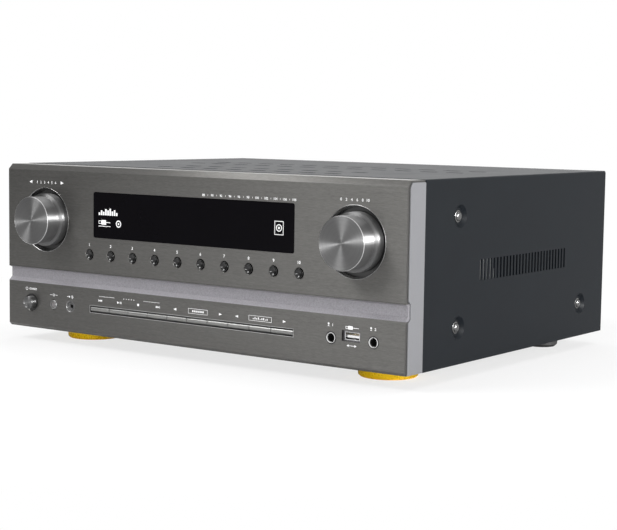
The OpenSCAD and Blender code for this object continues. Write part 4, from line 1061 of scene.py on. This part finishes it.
def ink_play_keys(bm):
    """The signs over the play keys: back, play and pause, stop, on, and two boxes between arrows."""
    for x, way in ((-102, -1), (-31, 1)):
        ink_bar(bm, x - 0.15, x + 0.25, KEY_ROW - 1, KEY_ROW + 1)
        for step in (1.4, 3.3):
            ink_arrow(bm, x - way * step, KEY_ROW, 1.9, 2.0, way)
    ink_arrow(bm, -78.6, KEY_ROW, 2.4, 2.1, 1)
    for x in (-76.6, -75.4):
        ink_bar(bm, x, x + 0.55, KEY_ROW - 1, KEY_ROW + 1)
    ink_bar(bm, -56.5, -54.4, KEY_ROW - 1, KEY_ROW + 1)
    for x, way in ((-13.9, -1), (35.5, 1), (52.5, -1), (101.2, 1)):
        ink_arrow(bm, x, KEY_ROW, 3.2, 2.2, way)
    for x0, x1 in ((-101.4, -83), (-49.4, -31)):
        ink_bar(bm, x0, x1, 35.15, 35.4)
    for n in range(5):
        ink_disc(bm, -72.0 + 2.9 * n, TITLE_ROW, 0.42)
    for x0, x1 in ((0.8, 21.7), (65, 88.3)):
        ink_frame(bm, x0, x1, 29.5, 33.8, 0.28)
    for n in range(6):
        ink_bar(bm, 5.2 + 2.2 * n, 6.6 + 2.2 * n, 30.9, 32.4)
    for n, top in enumerate((31.6, 32.4, 31.9, 32.6, 31.3, 32.2, 32.6, 31.5, 32.1)):
        ink_bar(bm, 69.3 + 1.75 * n, 70.2 + 1.75 * n, 30.8, top)


def ink_sockets(bm):
    """A microphone and a number over each of its jacks, and a plug and a double arrow at the USB socket."""
    for n, x in enumerate((146.4, 186.1)):
        ink_disc(bm, x - 2.3, 34.2, 0.85)
        ink_bar(bm, x - 2.5, x - 2.1, 32.3, 34.2)
        ink_bar(bm, x - 3.2, x - 1.4, 32.2, 32.55)
        ink_text(bm, str(n + 1), x + 1.6, 33.5, 2.2)
    ink_frame(bm, 160.2, 162.7, 31.7, 33.6, 0.32)
    ink_bar(bm, 162.7, 166.8, 31.3, 34.0)
    ink_bar(bm, 166.8, 172.4, 32.45, 32.85)
    ink_arrow(bm, 162.4, USB_ROW, 2.0, 2.0, -1)
    ink_bar(bm, 163.2, 168.9, USB_ROW - 0.2, USB_ROW + 0.2)
    ink_arrow(bm, 169.7, USB_ROW, 2.0, 2.0, 1)


def print_lower_plate():
    """The marks of the lower plate."""
    bm = bmesh.new()
    ink_power(bm)
    ink_lens_and_input(bm)
    ink_play_keys(bm)
    ink_sockets(bm)
    print_marks("control_symbols", bm)


WINDOW_Y = 0.2  # how far the window's face lies behind the plate's


def print_window():
    """Level bars, a plug and a disc at the left of the window, and a framed disc at its right."""
    bm = bmesh.new()
    for n, height in enumerate((2.2, 4.1, 3.0, 5.4, 4.4, 6.0, 3.7, 4.9, 2.6)):
        ink_bar(bm, -102 + 2.55 * n, -100.2 + 2.55 * n, 106.2, 106.2 + height, WINDOW_Y)
    ink_frame(bm, -102, -98.6, 98.6, 101.4, 0.5, WINDOW_Y)
    ink_bar(bm, -98.6, -93.2, 98.0, 102.0, WINDOW_Y)
    ink_bar(bm, -93.2, -88.4, 99.7, 100.3, WINDOW_Y)
    ink_bar(bm, -102, -88.0, 96.4, 96.9, WINDOW_Y)
    ink_ring(bm, -78.6, 99.4, 3.1, 1.0, WINDOW_Y)
    ink_disc(bm, -78.6, 99.4, 0.9, WINDOW_Y)
    ink_frame(bm, 90, 98.9, 100, 111.1, 0.5, WINDOW_Y)
    ink_ring(bm, 94.45, 105.6, 2.9, 0.7, WINDOW_Y)
    ink_disc(bm, 94.45, 105.6, 1.0, WINDOW_Y)
    print_marks("window_symbols", bm)


print_upper_plate()
print_lower_plate()
print_window()
